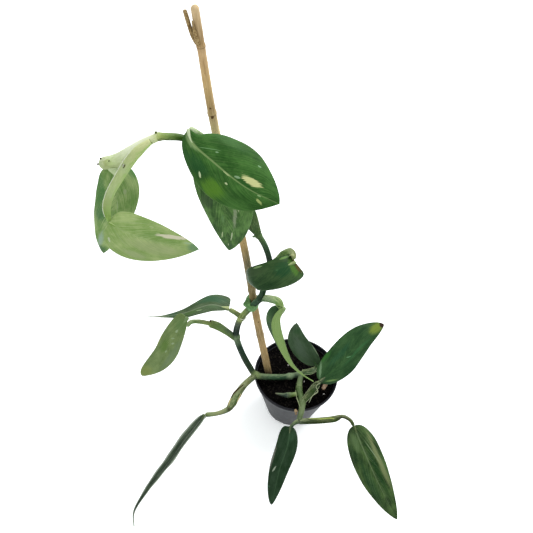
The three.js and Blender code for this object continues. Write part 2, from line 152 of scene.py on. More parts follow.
SEAMS = [
    (0.45, 0x34422A, 0x46552F, [
        (0, -17.7, 83.1), (4.7, -24.1, 84.3), (9.5, -33.1, 86.2), (12.9, -42.9, 88.2), (8.4, -53.1, 87.8),
    ]),
    (0.45, 0x94A076, 0xB4C096, [
        (0.7, -27.5, 84.2), (2.5, -38.3, 86.2), (5.7, -47.2, 87.8), (8.2, -53.6, 87.5),
    ]),
    (0.5, 0x4A4A2C, 0x66643C, [(-194.3, -37.6, 470.9), (-195.1, -38.8, 469.1), (-195.9, -39.9, 467.6)]),
    (0.6, 0xD8DAC8, 0xE8EADC, [(-195.6, -37.3, 471.7), (-196.2, -38.4, 470.2), (-196.8, -39.3, 468.8)]),
    (0.6, 0xD8DCC0, 0xF4F6E6, [
        (-76.5, -13.5, 204.9), (-73, -13.8, 204.8), (-70, -12.5, 206.2), (-68.5, -13, 210),
    ]),
    (0.45, 0x94A47A, 0xB6C49C, [(12.1, 0.4, 83), (18, 0, 84), (22.7, 1.2, 87.4), (24.2, 3.9, 91.4)]),
    (0.45, 0xA4B088, 0xC4CEA8, [
        (18.2, -45.8, 88.9), (21.4, -38.2, 93.1), (27.3, -32.8, 96.7), (24.5, -28.3, 99.8),
        (29.4, -23.9, 103.3),
    ]),
    (0.9, 0x33281A, 0x5C4A30, [
        (-63.8, -35.4, 95.9), (-69.1, -43, 98), (-73.8, -50.9, 100.4), (-76.7, -60.5, 104.4),
    ]),
    (0.9, 0xBEB078, 0xE0D8A0, [(-76.4, -61.1, 104.1), (-78, -68.2, 107), (-78.4, -73.6, 108)]),
    (0.8, 0xB8AC7C, 0xD8CEA0, [(-65.6, -49.7, 97.8), (-67, -56.7, 100.1), (-68.9, -65.1, 103.2)]),
    (0.6, 0x3E2C22, 0x54402E, [(-79.3, -77, 109.6), (-76.4, -78.8, 108.3)]),
    (0.8, 0x96AA50, 0xBCCC78, [
        (19.4, -64.9, 84.2), (35.5, -62.7, 83.5), (45.7, -60.2, 83.1), (51.2, -59.6, 82.5),
    ]),
    (0.45, 0x26321C, 0x3C4A28, [
        (10.7, -70.1, 82.4), (21.9, -68.4, 81.2), (33.7, -66.9, 80.8), (46.3, -64, 80.2),
    ]),
]

# Scars, as small lumps: centre, size and, on the plant, a tone.

SCARS = [
    ((-219.8, -26.6, 462.6), 1.1, 0x3A3A20), ((-222, -29.9, 458.1), 0.9, 0x5A5434),
    ((-211.7, -28.3, 462.5), 0.7, 0x4A4A2C), ((-168.6, -18.3, 497.8), 1.1, 0x6F7A48),
    ((-109.8, -20.3, 203.5), 1.3, 0x4A3A26), ((3.3, -57.3, 85.4), 2, 0xB39A78),
    ((3.9, -61.1, 84.9), 1.6, 0x9C8664),
]
CANE_SCARS = [((-119, -4, 511.5), 1.5), ((-121.2, -3.8, 522.1), 0.9), ((-55, -3.4, 188.3), 0.8)]

# Leaves, with their looks as colours that are seen in the studio light.
#
# Petiole: path, with half-widths and depths by point. sheath is the sheath's start and end (shares of the
# length), openness, left and right wing, and raggedness. lit is the light that falls on the petiole, crest
# (painted_light_tone) is the painted light on the side that faces the light, belly (painted_shade_tone) the
# painted shade on the side away from it, wing and dry those of the sheath's thin edges, and tones go by
# place.
#
# Blade: spine is the midrib, facing how the upper side looks at base and tip, and width each half's own,
# left and right (seen from above with the tip ahead). bend is a half's angle in degrees at midrib and
# margin, and outline how its margin leaves the base and meets the tip: below 1 is full, above 1 is drawn
# out. Where one value stands for two, both are the same. lobe is how far each half's base sweeps back,
# collar how far the petiole's end rides up on the blade, nose its half-width there, and keel the share of
# the usual midrib that stands out below. dark and light are the blade's tones, rib that of midrib, fine
# streaks and margin, rib_share and streaks how clearly those show, and edge is as in EDGE. The lower side
# has under tones of its own where it is seen.
#
# Zones are soft: along the midrib, out from it (left is negative), length, width, turn in degrees, colour,
# strength. Marks are crisp and the same without a strength. Turned ones lean left going forward.

LEAVES = {}
LEAVES["leaf_a"] = dict(
    path=[(-165, -19.5, 495), (-180, -21, 484), (-192, -23, 473), (-205, -25, 461), (-222, -27, 455)],
    half=[3.9, 4.6, 5.6, 6.8, 6], depth=[3.6, 3.4, 3.4, 3.4, 3],
    spine=[(-208, -28, 455), (-203, -38, 434), (-208, -50, 403), (-217, -58, 358)],
    facing=[(0, -0.75, 0.65), (0, -0.85, 0.5)], width=(21, 22), bend=(5, -30),
    outline=[(0.3, 0.8), (0.33, 0.65)],
    lit=1.0, dark=0x70994F, light=0xB2C886, rib=0xA9B88C, wing=0xCACEB6, sheath=(0, 1, 0, 1, 1, 0),
    painted_light_tone=0xD0D6BC, painted_shade_tone=0x9DA87C,
    tones=[
        (0, 0xB4C080), (0.5, 0xD0D6B4), (1.3, 0xDAE0C4), (2, 0xD2DABC), (2.6, 0xBEC8A2), (3.3, 0xA8B982),
        (3.6, 0x949F6A), (3.75, 0xA3AE82), (4, 0xA9B890),
    ],
    zones=[
        (30, 17, 70, 12, 0, 0x4C8246, 0.8), (56, 12, 20, 14, 0, 0x44784C, 0.7),
        # the pale bluish zone at 88 along is a painted reflection
        (88, 6, 24, 6, 0, 0xA9C2B4, 0.7), (100, 3, 12, 12, 0, 0x3D6B45, 0.8),
        (8, -18, 16, 12, 0, 0x4F8A50, 0.7),
    ],
    marks=[(25, -7, 5, 3, 0, 0xA5BA85), (40, -2, 10, 1, 10, 0xA9C08A)],
)
LEAVES["leaf_p"] = dict(
    path=[
        (-173, -24, 491), (-183, -29, 482), (-191, -36, 472), (-198, -44, 461), (-206, -56, 447),
        (-208, -63, 437), (-206, -68, 422),
    ],
    half=[3, 5, 5.2, 4.6, 4.2, 4, 2.2], depth=[2.4, 3, 3, 2.8, 2.6, 2.2, 1.8],
    spine=[(-206, -70, 423), (-184, -78, 420), (-150, -88, 425), (-117, -96, 433)], nose=1.4,
    width=(20, 23), bend=(0, -20), outline=[(0.3, 0.8), (0.3, 0.9)],
    lit=1.0, dark=0x8AAB5E, light=0xBACE8A, rib=0xB9CC98, rib_share=0.12, streaks=0.35, wing=0xD9DCCB,
    sheath=(0.15, 0.93, 0.8, 0.6, 1.7, 0.3),
    tones=[
        (0, 0xC0C492), (1, 0xACB480), (2, 0xA8B480), (2.5, 0xA6B486), (3, 0xA2B07C), (4, 0x9CAC7C),
        (4.4, 0x93A26E), (5, 0x8C9C66), (5.6, 0x78904E), (6, 0x6A8444),
    ],
    zones=[
        (52, 6, 60, 12, 0, 0xB4C08C, 0.6), (33, 17, 24, 6, 0, 0xB9C694, 0.6),
        (50, -5, 60, 12, 0, 0x6F9A4A, 0.5), (90, -1, 16, 12, 0, 0x5F8F6A, 0.8),
        (82, -4, 8, 2, 0, 0xA9C7A0, 0.8),
    ],
    marks=[
        (67, -7.5, 34, 3.8, 4, 0xE6E3C4), (8, 14, 5, 2, -45, 0xC9D8B0), (50, -8, 5, 0.9, 0, 0xB5C88F),
        (42, -12.5, 5, 0.8, 0, 0xB5C88F), (22, -15, 7, 0.8, 20, 0xB5C88F),
    ],
)
LEAVES["leaf_b"] = dict(
    path=[(-103, -15, 431), (-117, -19, 474), (-121, -38, 517), (-128, -44, 530), (-134, -49, 539)],
    half=[3.4, 3, 2.8, 3, 3.2], depth=[2.6, 2.4, 2.2, 2, 1.8],
    spine=[(-135, -51, 541), (-131, -58, 534), (-110, -69, 523), (-79, -84, 512), (-49, -91, 504)],
    width=(32, 26), bend=(5, -25), outline=[(0.9, 0.75), (1.0, 1.0)], collar=10, nose=1.5,
    lit=1.2, dark=0x2E5826, light=0x4F7E3C, rib=0x93AC70, rib_share=0.7, wing=0xB9C8A0,
    sheath=(0, 0.8, 0.5, 1, 1, 0.1), tones=[(0, 0x6B8451), (3, 0x869C6E), (3.4, 0xAABB92), (4, 0xBCCAA4)],
    painted_light_tone=0xC6D2AE,
    zones=[
        (9, 1, 24, 5, 0, 0x8FAA74, 0.8), (51, 18, 22, 16, 0, 0x5F8F2F, 0.9),
        (37, -24, 36, 10, 10, 0x5E8A54, 0.4), (25, 12, 30, 14, 0, 0x1F5230, 0.6),
        (77, -2, 40, 4, 0, 0x235A24, 0.5),
    ],
    marks=[
        (74, -6.8, 21, 6.5, 0, 0xD9DC9C), (61, -3, 6, 2, 20, 0x8FB086), (52, 0.3, 8, 1.4, 0, 0xC9D79C),
        (57, 7.4, 3, 1.6, 0, 0xC6D6A2), (35, 16, 6, 1.8, -38, 0xCFE0B0), (88, 5.5, 7, 2.5, -20, 0xA9BC74),
        (86, 1, 3.5, 1.2, 0, 0x8FB07A), (73, -22, 4.5, 1.3, 0, 0x8DB585),
        (34, -8.5, 4, 1.3, 30, 0x8DB285), (27, -6.5, 20, 0.8, 31, 0x6C9660),
    ],
)
LEAVES["leaf_c"] = dict(
    path=[(-66, -5, 351), (-75, -11, 390), (-88, -18, 432), (-102, -27, 474), (-114, -32, 499)],
    half=[3.9, 5.4, 3.8, 2.8, 2.4], depth=[2.6, 2.6, 2.2, 2, 2],
    spine=[(-114, -32, 498), (-107, -42, 474), (-98, -51, 432), (-92, -56, 385)],
    facing=[OUT_AND_UP, (0, -0.9, 0.45)], width=(29, 24), bend=(10, -20),
    outline=[(0.45, 0.65), (0.3, 0.85)],
    lit=1.6, dark=0x284F20, light=0x6C9850, rib=0x93AC74, streaks=0.4, wing=0x9A9A70,
    sheath=(0, 0.8, 0.25, 1, 1, 0.1),
    tones=[
        (0, 0x4A6042), (0.25, 0x667B4D), (0.5, 0x72855A), (0.8, 0x687E4A), (1, 0x50703C), (4, 0x4C6C38),
    ],
    zones=[
        (112, 0, 12, 12, 0, 0x2E5230, 0.8), (72, -9, 30, 4, -7, 0x9AA887, 0.8),
        # the dark zone at 52 along is painted shadow cast by leaf_b
        (75, 3, 12, 3, 0, 0x6D9560, 0.6), (52, 15, 20, 14, 0, 0x32492F, 0.8),
    ],
    marks=[
        (63, -13, 9, 1, 0, 0xB7C39A), (98, -4, 12, 1.4, -10, 0xB9C9A0), (96, 5, 9, 1.4, -8, 0xB4C795),
        (110, 0, 3, 1, 0, 0xB4C795),
    ],
)
LEAVES["leaf_m"] = dict(
    path=[
        (-50, -6, 303), (-42, -4, 311), (-36, -5, 323), (-30, -8, 332), (-27, -12, 334), (-26, -15, 330),
    ],
    half=[3.6, 4.4, 5.4, 5, 3, 2.2], depth=[2.4, 2.4, 2.2, 2, 1.8, 1.6],
    spine=[(-24, -16, 327), (-36, -24, 327), (-54, -30, 321), (-70, -30, 310), (-72, -22, 291)],
    facing=[OUT_AND_UP, (-0.6, -0.6, 0.5)], width=(21.5, 11.5), bend=(0, -30),
    outline=[(0.15, 0.5), (0.08, 0.25)], lobe=(10, 0),
    lit=1.12, dark=0x2E4A2D, light=0x4A663E, rib=0x5A7A4C, wing=0xA7B48C,
    sheath=(0, 0.9, 0.7, 1.3, 1, 0.2),
    tones=[
        (0, 0x3E5838), (1, 0x50693F), (1.3, 0x74905A), (2, 0x6A8A4C), (2.5, 0x7E9A5C), (2.8, 0x98AA78),
        (3.3, 0x8B9269), (4, 0x8C9068), (5, 0x7A8C5A),
    ],
    zones=[
        # the bluish zone at 15 along is a painted reflection
        (15, -3, 24, 16, 0, 0x2A5838, 0.6), (50, 3, 36, 10, 0, 0x4A5E40, 0.6),
        (40, -14, 30, 8, 0, 0x1F3F22, 0.6), (5, -4, 7, 24, 0, 0x628F3A, 0.7),
        (1, 0, 3, 26, 0, 0x6B5530, 0.8),
    ],
    marks=[(42, 8, 10, 2, 0, 0x7F9C68), (10, 9, 12, 2.6, 0, 0x6F9450), (22, -1, 3, 1.2, 0, 0x47704A)],
)
LEAVES["leaf_n"] = dict(
    path=[(-56, -10, 246), (-45, -18, 258), (-36, -25, 264), (-30, -33, 258)], half=[3.8, 4.4, 4.8, 3],
    depth=[2.4, 2.4, 2.2, 1.8],
    spine=[
        (-29, -31, 263), (-32, -36, 249), (-24, -40, 212), (-10, -42, 170), (6, -40, 142), (19, -36, 124),
    ],
    facing=[(-1, -0.2, 0.2), (-1, 0, 0.3)], width=(11, 16), bend=(70, 60), keel=0.3, outline=(0.3, 1.6),
    lit=1.0, dark=0x2F5232, light=0x557A48, rib=0x9DB280, rib_share=0.3, under_dark=0x64903C,
    under=0xA8C07C, under_rib=0xBCC8A0, wing=0xB9C9A0, sheath=(0, 0.85, 0.35, 1, 1.2, 0.3),
    tones=[
        (0, 0x506850), (0.25, 0x6A7C60), (0.5, 0x80946E), (1, 0x889C76), (1.5, 0x829A6C),
        (1.75, 0x72905F), (2, 0x607B46), (2.5, 0x718851), (3, 0x8C9F6E),
    ],
)
LEAVES["leaf_j"] = dict(
    path=[(-75, -9, 202), (-82, -9, 209), (-90, -9, 215)], half=[3.6, 3, 2.7], depth=[2.2, 2, 1.8],
    spine=[(-90, -9, 216), (-111, -8, 218), (-142, -14, 203), (-165, -17, 196), (-184, -16, 190)],
    facing=[(0, 0.1, 1), (0, 0, 1)], width=(11.2, 15.5), bend=(15, 0), outline=[(0.8, 2), (0.12, 1.7)],
    lit=0.75, dark=0x445B3B, light=0x6C8060, rib=0xA9B89A, rib_share=0.35, wing=0xB8BC88,
    sheath=(0, 0.6, 0.5, 1, 1, 0.1),
    tones=[
        (0, 0x92A068), (0.25, 0x718145), (0.5, 0x68724B), (1, 0x5E6444), (1.5, 0x707A4E), (2, 0x6B734F),
    ],
    zones=[
        (20, 8, 36, 9, 0, 0x3E6A4C, 0.8), (20, -3, 20, 6, 0, 0x5E7A55, 0.7),
        (45, -3, 24, 8, 0, 0x4C7030, 0.7), (70, 1, 16, 8, 0, 0x3A5F45, 0.7),
        (85, 0, 20, 8, 0, 0x8A987C, 0.7),
    ],
    marks=[(36, -4.5, 9, 1.4, -15, 0x9CB586)],
)
LEAVES["leaf_k"] = dict(
    path=[
        (-79, -8, 154), (-90, -12, 172), (-102, -17, 190), (-113, -22, 201), (-125, -27, 209),
        (-131, -31, 212), (-135, -36, 210),
    ],
    half=[3.9, 4.1, 5, 4.6, 2.4, 2.6, 2.4], depth=[2.6, 2.4, 2.2, 2, 1.8, 1.8, 1.6],
    spine=[(-135, -31, 220), (-149, -42, 193), (-161, -52, 165), (-184, -60, 129)], width=(14.2, 13.6),
    outline=[(0.9, 0.8), (0.15, 0.35)],
    lit=1.25, dark=0x6B834C, light=0x8FA46A, rib=0x8FA676, wing=0x9A9660,
    sheath=(0, 0.6, 0.4, 1.2, 1, 0.4), dry=0x6B5A38,
    tones=[
        (0, 0x54684C), (0.5, 0x42543F), (1, 0x4C5E48), (1.5, 0x5E724C), (2, 0x5A7342), (2.5, 0x5F7240),
        (3, 0x7C8C52), (3.4, 0x82905E), (3.6, 0x6E7C50), (4, 0x60744C), (4.3, 0x52683E), (5, 0x6F865C),
    ],
    zones=[
        (50, 4, 26, 9, 0, 0x5E8234, 0.7), (55, -9, 50, 9, 0, 0x7C9270, 0.6),
        (50, 13, 24, 3, 0, 0x9AA350, 0.8), (100, 0, 24, 20, 0, 0x93A050, 0.6),
        (12, 0, 20, 20, 0, 0x64874E, 0.6),
    ],
    marks=[
        (23, 1, 4.5, 2.6, 0, 0xA3B98D), (34, 0, 4, 1.8, -45, 0x9DB585), (40, -3, 4, 2.2, -30, 0xA0B58C),
        (55, -0.5, 4, 1.6, 0, 0x9DB585),
    ],
)
LEAVES["leaf_l"] = dict(
    path=[
        (-51, -15, 87), (-63, -34, 92), (-71, -54, 98), (-75, -69, 104), (-79, -79, 108), (-90, -88, 112),
        (-104, -93, 114),
    ],
    half=[3.9, 4.1, 5, 5, 3.4, 2.6, 3], depth=[3, 2.6, 2.4, 2.2, 2, 2, 2],
    spine=[
        (-104, -93, 114), (-122, -122, 106), (-139, -145, 85), (-160, -171, 60), (-173, -192, 38),
        (-171, -204, 28),
    ],
    facing=(0.2, -0.3, 1), width=(14, 12), bend=[(80, 75), (60, 50)], outline=(0.4, 1.2),
    lit=1.75, dark=0x485E4C, light=0x8FA288, rib=0xC6D0C0, rib_share=0.5, streaks=0.8,
    edge=(0.72, 0.84, 0.0, 1.0), under_dark=0x40584A, under=0x6E8670, wing=0xC2B98A,
    sheath=(0.3, 0.72, 0.9, 1.3, 1, 0.5), dry=0x5A4A2E,
    tones=[
        (0, 0x616E4A), (0.5, 0x6E7957), (0.75, 0x7C8354), (1, 0x838B66), (1.25, 0x5A6140),
        (1.5, 0x68734B), (2, 0x567040), (2.5, 0x546F3F), (3, 0x5B6D45), (3.5, 0x5E7048), (3.8, 0x535A3C),
        (4.05, 0x5C6545), (4.2, 0x7A8862), (4.6, 0x989F74), (5, 0x969F6E), (5.5, 0x91A171), (6, 0x748852),
    ],
)
LEAVES["leaf_q"] = dict(
    path=[(8, 4, 77), (18, 4, 82), (25, 7, 88), (24, 8, 92)], half=[3, 4, 3, 2.2],
    depth=[2.2, 2.2, 2, 1.8], spine=[(24, 8, 90), (8, 14, 110), (-4, 18, 133), (-9, 20, 161)],
    facing=(0.2, -1, 0.2), width=(15, 12), bend=(20, 0), outline=[(0.5, 0.55), (0.4, 0.9)],
    lit=0.75, dark=0x3B5338, light=0x5A7256, rib=0x5C7A54, wing=0xA9B890,
    sheath=(0, 0.8, 0.9, 1.2, 1.2, 0.3),
    tones=[
        (0, 0x566848), (0.5, 0x4C5D46), (1, 0x485B41), (1.4, 0x6A7A60), (1.7, 0x41543A), (3, 0x33462F),
    ],
    # the grey zone at 35 along is painted sheen
    zones=[(35, -4, 44, 14, 0, 0x5A6E5A, 0.7), (65, 0, 14, 10, 0, 0x2F5A30, 0.5)],
    marks=[(20, 11.5, 28, 1.4, 0, 0x8FA585)],
)
LEAVES["leaf_r"] = dict(
    path=[(10, -44, 86), (18, -34, 92), (24, -26, 98), (30, -21, 102)], half=[3.4, 4.6, 4.6, 2.4],
    depth=[2.4, 2.4, 2.2, 1.8], spine=[(29, -22, 102), (51, -2, 118), (73, 25, 131), (100, 49, 138)],
    facing=(0.1, -0.5, 0.85), width=(22, 18), bend=[(10, -10), (10, -30)],
    outline=[(0.4, 0.6), (0.45, 0.8)],
    lit=1.5, dark=0x29472B, light=0x466840, rib=0x4E7C42, rib_share=0.15, wing=0xC2CCA8,
    sheath=(0, 0.85, 0.9, 1.5, 1.6, 0.8),
    tones=[
        (0, 0x687D52), (0.5, 0x50603C), (1, 0x4C5C3D), (1.3, 0x3B5028), (1.75, 0x4E5D42), (2.2, 0x4E5B40),
        (2.6, 0x586549), (3, 0x485640),
    ],
    zones=[
        # the zones at 60 and 40 along are painted sheen streaks
        (97, -2, 22, 13, 0, 0x8FA444, 0.8), (60, 5, 50, 4, 0, 0x3F7348, 0.5),
        (40, -8, 40, 8, 0, 0x345E42, 0.5), (25, -19, 20, 8, 0, 0x3F7A34, 0.6),
        (10, -11, 22, 3, 43, 0x7F9F78, 0.9), (11, 8, 15, 2.6, -34, 0x7FA060, 0.9),
    ],
    marks=[(105.5, -1.5, 7, 8, 0, 0x40302A), (46, 2, 6, 1.6, -30, 0x5D8A60)],
)
LEAVES["leaf_f"] = dict(
    path=[(8, -68, 81), (3, -71, 79), (-1, -75, 75)], half=[3, 2.4, 2], depth=[2.4, 2, 1.8],
    spine=[(-1, -74, 76), (-2, -96, 66), (-8, -119, 48), (-12, -153, 20)], width=(12.5, 14),
    outline=[(0.4, 0.8), (0.22, 0.5)],
    lit=1.6, dark=0x1F3520, light=0x394E3A, rib=0x5A7A58, rib_share=0.25, wing=0x9FB384,
    sheath=(0, 0.5, 0.3, 1, 1, 0),
    tones=[(0, 0x6E7E5E), (0.5, 0x4E6044), (1, 0x5A6E52), (1.5, 0x4B5C49), (2, 0x304532)],
    zones=[(12, -3, 14, 7, 0, 0x446448, 0.4), (45, 12.5, 30, 3, 0, 0x8A8A82, 0.8)],
    marks=[(55, 6.5, 8, 2, -18, 0xA0AD98), (77, 8, 3, 1.5, 0, 0x4C6E58)],
)
LEAVES["leaf_g"] = dict(
    path=[(9, -68, 80), (32, -64, 80.7), (51, -59, 80.5), (61, -55, 82), (71, -58, 80), (76, -62, 75)],
    half=[3.6, 3.9, 4.1, 2.5, 2.1, 2.1], depth=[3, 2.8, 2.6, 2.2, 1.9, 1.9],
    spine=[(76, -62, 75), (94, -91, 60), (115, -121, 42), (141, -152, 20)], width=(20, 19.5),
    outline=[(0.4, 0.8), (0.45, 0.75)],
    lit=1.9, dark=0x1E3417, light=0x567240, rib=0x8DA37A, rib_share=0.35, streaks=0.4, wing=0xA9B65C,
    sheath=(0.05, 0.68, 0.35, 1.6, 0.8, 0.5),
    tones=[
        (0, 0x6B775F), (0.3, 0x566447), (0.7, 0x4F5C3E), (1, 0x4F5E37), (1.5, 0x6D7853), (1.75, 0x5A693F),
        (2, 0x4F6333), (2.3, 0x46552F), (2.6, 0x52583F), (3, 0x4E5A38), (3.5, 0x5D6549), (4, 0x4F5B32),
        (5, 0x4B6038),
    ],
    zones=[
        (50, -12.5, 80, 6, 0, 0x8A9466, 0.8), (60, -5, 80, 7, 0, 0x1D4120, 0.8),
        (20, 6, 26, 9, 0, 0x6F8A5C, 0.5), (30, 13, 24, 8, 0, 0x1E3F22, 0.6),
        (70, 8, 60, 12, 0, 0x2F5433, 0.5), (38, -9, 36, 1.5, 12, 0x8DA07C, 0.8),
    ],
)

# Numbers and curves


def unit(v):
    v = np.asarray(v, float)
    return v / np.linalg.norm(v, axis=-1, keepdims=True)


def smooth(low, high, x):
    """0 below low, 1 above high, and a soft step between."""
    t = np.clip((x - low) / (high - low), 0, 1)
    return t * t * (3 - 2 * t)


def round_end(depth, least=0.02):
    """How wide a round end is at a depth from 0 to 1."""
    return np.sqrt(np.clip(1 - (1 - np.clip(depth, 0, 1)) ** 2, least, 1))


def ripple(x, seed):
    """A gentle irregular wave of x, from about -1 to 1."""
    draw = np.random.default_rng(seed)
    waves = zip(draw.uniform(0.6, 2.2, 4), draw.uniform(0, 2 * np.pi, 4))
    return sum(np.sin(rate * x + phase) for rate, phase in waves) / 4


def all_round(sides):
    return np.linspace(0, 2 * np.pi, sides, endpoint=False)


def stacked(*layers, axis=-1):
    return np.stack(np.broadcast_arrays(*layers), axis=axis)


def squarish(angle):
    """Across and up of a rounded square's points."""
    size = (np.cos(angle) ** 4 + np.sin(angle) ** 4) ** 0.25
    return np.cos(angle) / size, np.sin(angle) / size


def turning(degrees, axis):
    return np.array(Matrix.Rotation(math.radians(degrees), 3, axis))


class Line:
    """The smooth curve through points that the parts follow. A place counts the points passed."""

    FINE = 30
    STEP = 0.01

    def __init__(self, points):
        self.points = np.array(points, float)
        self.spans = len(points) - 1
        self.places = np.linspace(0, self.spans, self.spans * self.FINE + 1)
        steps = np.linalg.norm(np.diff(self.at(self.places), axis=0), axis=1)
        self.run = np.concatenate([[0], np.cumsum(steps)])
        self.length = self.run[-1]

    def at(self, place):
        p = self.points
        padded = np.array([2 * p[0] - p[1], *p, 2 * p[-1] - p[-2]])
        i = np.clip(np.floor(place).astype(int), 0, self.spans - 1)
        w = (place - i)[:, None]
        a, b, c, d = (padded[i + k] for k in range(4))
        ab, bc, cd = (np.linalg.norm(v, axis=1, keepdims=True) ** 0.5 for v in (b - a, c - b, d - c))
        m = ((b - a) / ab - (c - a) / (ab + bc) + (c - b) / bc) * bc
        n = ((c - b) / bc - (d - b) / (bc + cd) + (d - c) / cd) * bc
        return b + m * w + (3 * (c - b) - 2 * m - n) * w**2 + (2 * (b - c) + m + n) * w**3

    def tangent(self, place):
        ahead, behind = np.minimum(place + self.STEP, self.spans), np.maximum(place - self.STEP, 0)
        return unit(self.at(ahead) - self.at(behind))

    def place_at(self, run):
        return np.interp(run, self.run, self.places)

    def frames(self, place, facing):
        """Centres, with up across the line towards facing and right of it."""
        tangent = self.tangent(place)
        facing = np.broadcast_to(np.asarray(facing, float), tangent.shape)
        up = unit(facing - tangent * np.sum(facing * tangent, axis=1, keepdims=True))
        return self.at(place), up, np.cross(tangent, up)


# Meshes


def new_object(name, data):
    made = bpy.data.objects.new(name, data)
    bpy.context.scene.collection.objects.link(made)
    return made


class Shape:
    """Closed skins gathered into one mesh. Each point keeps its place and veins, which the paints read."""

    def __init__(self):
        self.points, self.faces, self.slots, self.places, self.veins = [], [], [], [], []
        self.count = 0

    def rings(self, grid, slot=0, places=None, veins=None, closed=False):
        """A skin over rings of points, capped at both ends or, if closed, joined end to end.

        slot is one number, or one for each side of the ring.
        """
        places = grid if places is None else places
        veins = places if veins is None else veins
        layers = (self.points, grid), (self.places, places), (self.veins, veins)
        rows, sides = grid.shape[:2]
        index = np.arange(rows * sides).reshape(rows, sides) + self.count
        across = np.roll(index, -1, axis=1)
        quads = np.stack([index, across, np.roll(across, -1, axis=0), np.roll(index, -1, axis=0)], axis=-1)
        quads = quads if closed else quads[:-1]
        self.faces += quads.reshape(-1, 4).tolist()
        self.slots += np.broadcast_to(slot, quads.shape[:2]).reshape(-1).tolist()
        for store, values in layers:
            store.append(values.reshape(-1, 3))
        self.count += rows * sides
        if closed:
            return
        for row, ring in ((0, index[0][::-1]), (-1, index[-1])):
            self.faces += [(self.count, int(a), int(b)) for a, b in zip(ring, np.roll(ring, -1))]
            self.slots += [int(np.broadcast_to(slot, sides)[0])] * sides
            for store, values in layers:
                store.append(values[row].mean(axis=0, keepdims=True))
            self.count += 1

    def piece(self, name, materials, *replaced, slot):
        """The finished object, standing for the CAD nodes it replaces."""
        mesh = bpy.data.meshes.new(name)
        mesh.from_pydata((np.concatenate(self.points) * MM).tolist(), [], self.faces)
        for label, values in (("place", self.places), ("veins", self.veins)):
            layer = mesh.attributes.new(label, "FLOAT_VECTOR", "POINT")
            layer.data.foreach_set("vector", np.concatenate(values).astype(np.float32).reshape(-1))
        mesh.polygons.foreach_set("material_index", np.array(self.slots, np.int32))
        mesh.polygons.foreach_set("use_smooth", [True] * len(mesh.polygons))
        for material in materials:
            mesh.materials.append(material)
        mesh.update()
        made = new_object(name, mesh)
        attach(made, "root")
        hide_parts(*replaced)
        return made


def tube_skin(shape, spine, angle, out, high, near, at, run, slot):
    """A tube round a spine of centres, ups and rights. out and high are its points' offsets.

    Its place holds near (a joint's or a wing's nearness), how far it faces the painted light, and at.
    """
    centre, up, right = (v[:, None] for v in spine)
    cos, sin = np.cos(angle), np.sin(angle)
    grid = centre + right * out[..., None] + up * high[..., None]
    # how far each point faces the painted light; this drives the painted light and painted shade on stems
    # and petioles
    light_facing = (up * sin[:, None] - right * cos[:, None]) @ unit(PAINTED_LIGHT_FROM)
    shape.rings(grid, slot, stacked(near, light_facing, at), stacked(cos, sin, run[:, None]))


STEM_STEP = 0.8  # between a stem's rings
STEM_UNEVEN = 0.12
JOINT_SCAR = 0.16  # a scar's width as a share of the joint's reach


def node_swell(run, rings, swell, reach):
    """How far a stem stands out at its joints, a soft collar with a leaf scar, and how near the scar is."""
    total, near = np.zeros_like(run), np.zeros_like(run)
    for ring in rings:
        away = (run - ring) / reach
        scar = np.exp(-((away / JOINT_SCAR) ** 2))
        total += swell * np.exp(-(away**2)) - 0.35 * swell * scar
        near = np.maximum(near, scar)
    return total, near


def stem_tube(shape, path, half, facing=OUT_AND_UP, rings=(), swell=1.1, reach=3, sides=28, slot=0, seed=1):
    """A round stem with joints, fine ridges and rounded ends."""
    line = Line(path)
    run = np.linspace(0, line.length, int(line.length / STEM_STEP) + 2)
    place = line.place_at(run)
    radius = np.interp(place, range(len(half)), half)
    ends = round_end(np.minimum(run, line.length - run) / radius)
    extra, near = node_swell(run, np.interp(rings, line.places, line.run), swell, reach)
    extra = extra + STEM_UNEVEN * ripple(run / 6, seed)
    angle = all_round(sides)
    ridges = 0.05 * np.sin(7 * angle + seed) + 0.04 * np.sin(11 * angle)
    radius = ((radius + extra)[:, None] + ridges) * ends[:, None]
    out, high = -np.cos(angle) * radius, np.sin(angle) * radius
    tube_skin(shape, line.frames(place, facing), angle, out, high, near[:, None], place[:, None], run, slot)


# A petiole's section, from its left over the top. An open sheath has a wing on each side.

TOP = np.radians([0, 9, 16, 21, 26, 33, 44, 58, 74, 90])
OPEN_OUT = [0.86, 0.93, 0.98, 1.0, 0.97, 0.86, 0.68, 0.46, 0.22, 0]
OPEN_UP = [0, 0.42, 0.8, 1.0, 0.92, 0.62, 0.28, 0.06, -0.04, -0.06]
WING = [0, 0.3, 0.8, 1.0, 0.8, 0.4, 0.1, 0, 0, 0]
UNDERSIDE = 13
PETIOLE_STEP = 0.5
BLADE, UNDER, PETIOLE = 0, 1, 2  # a leaf's materials


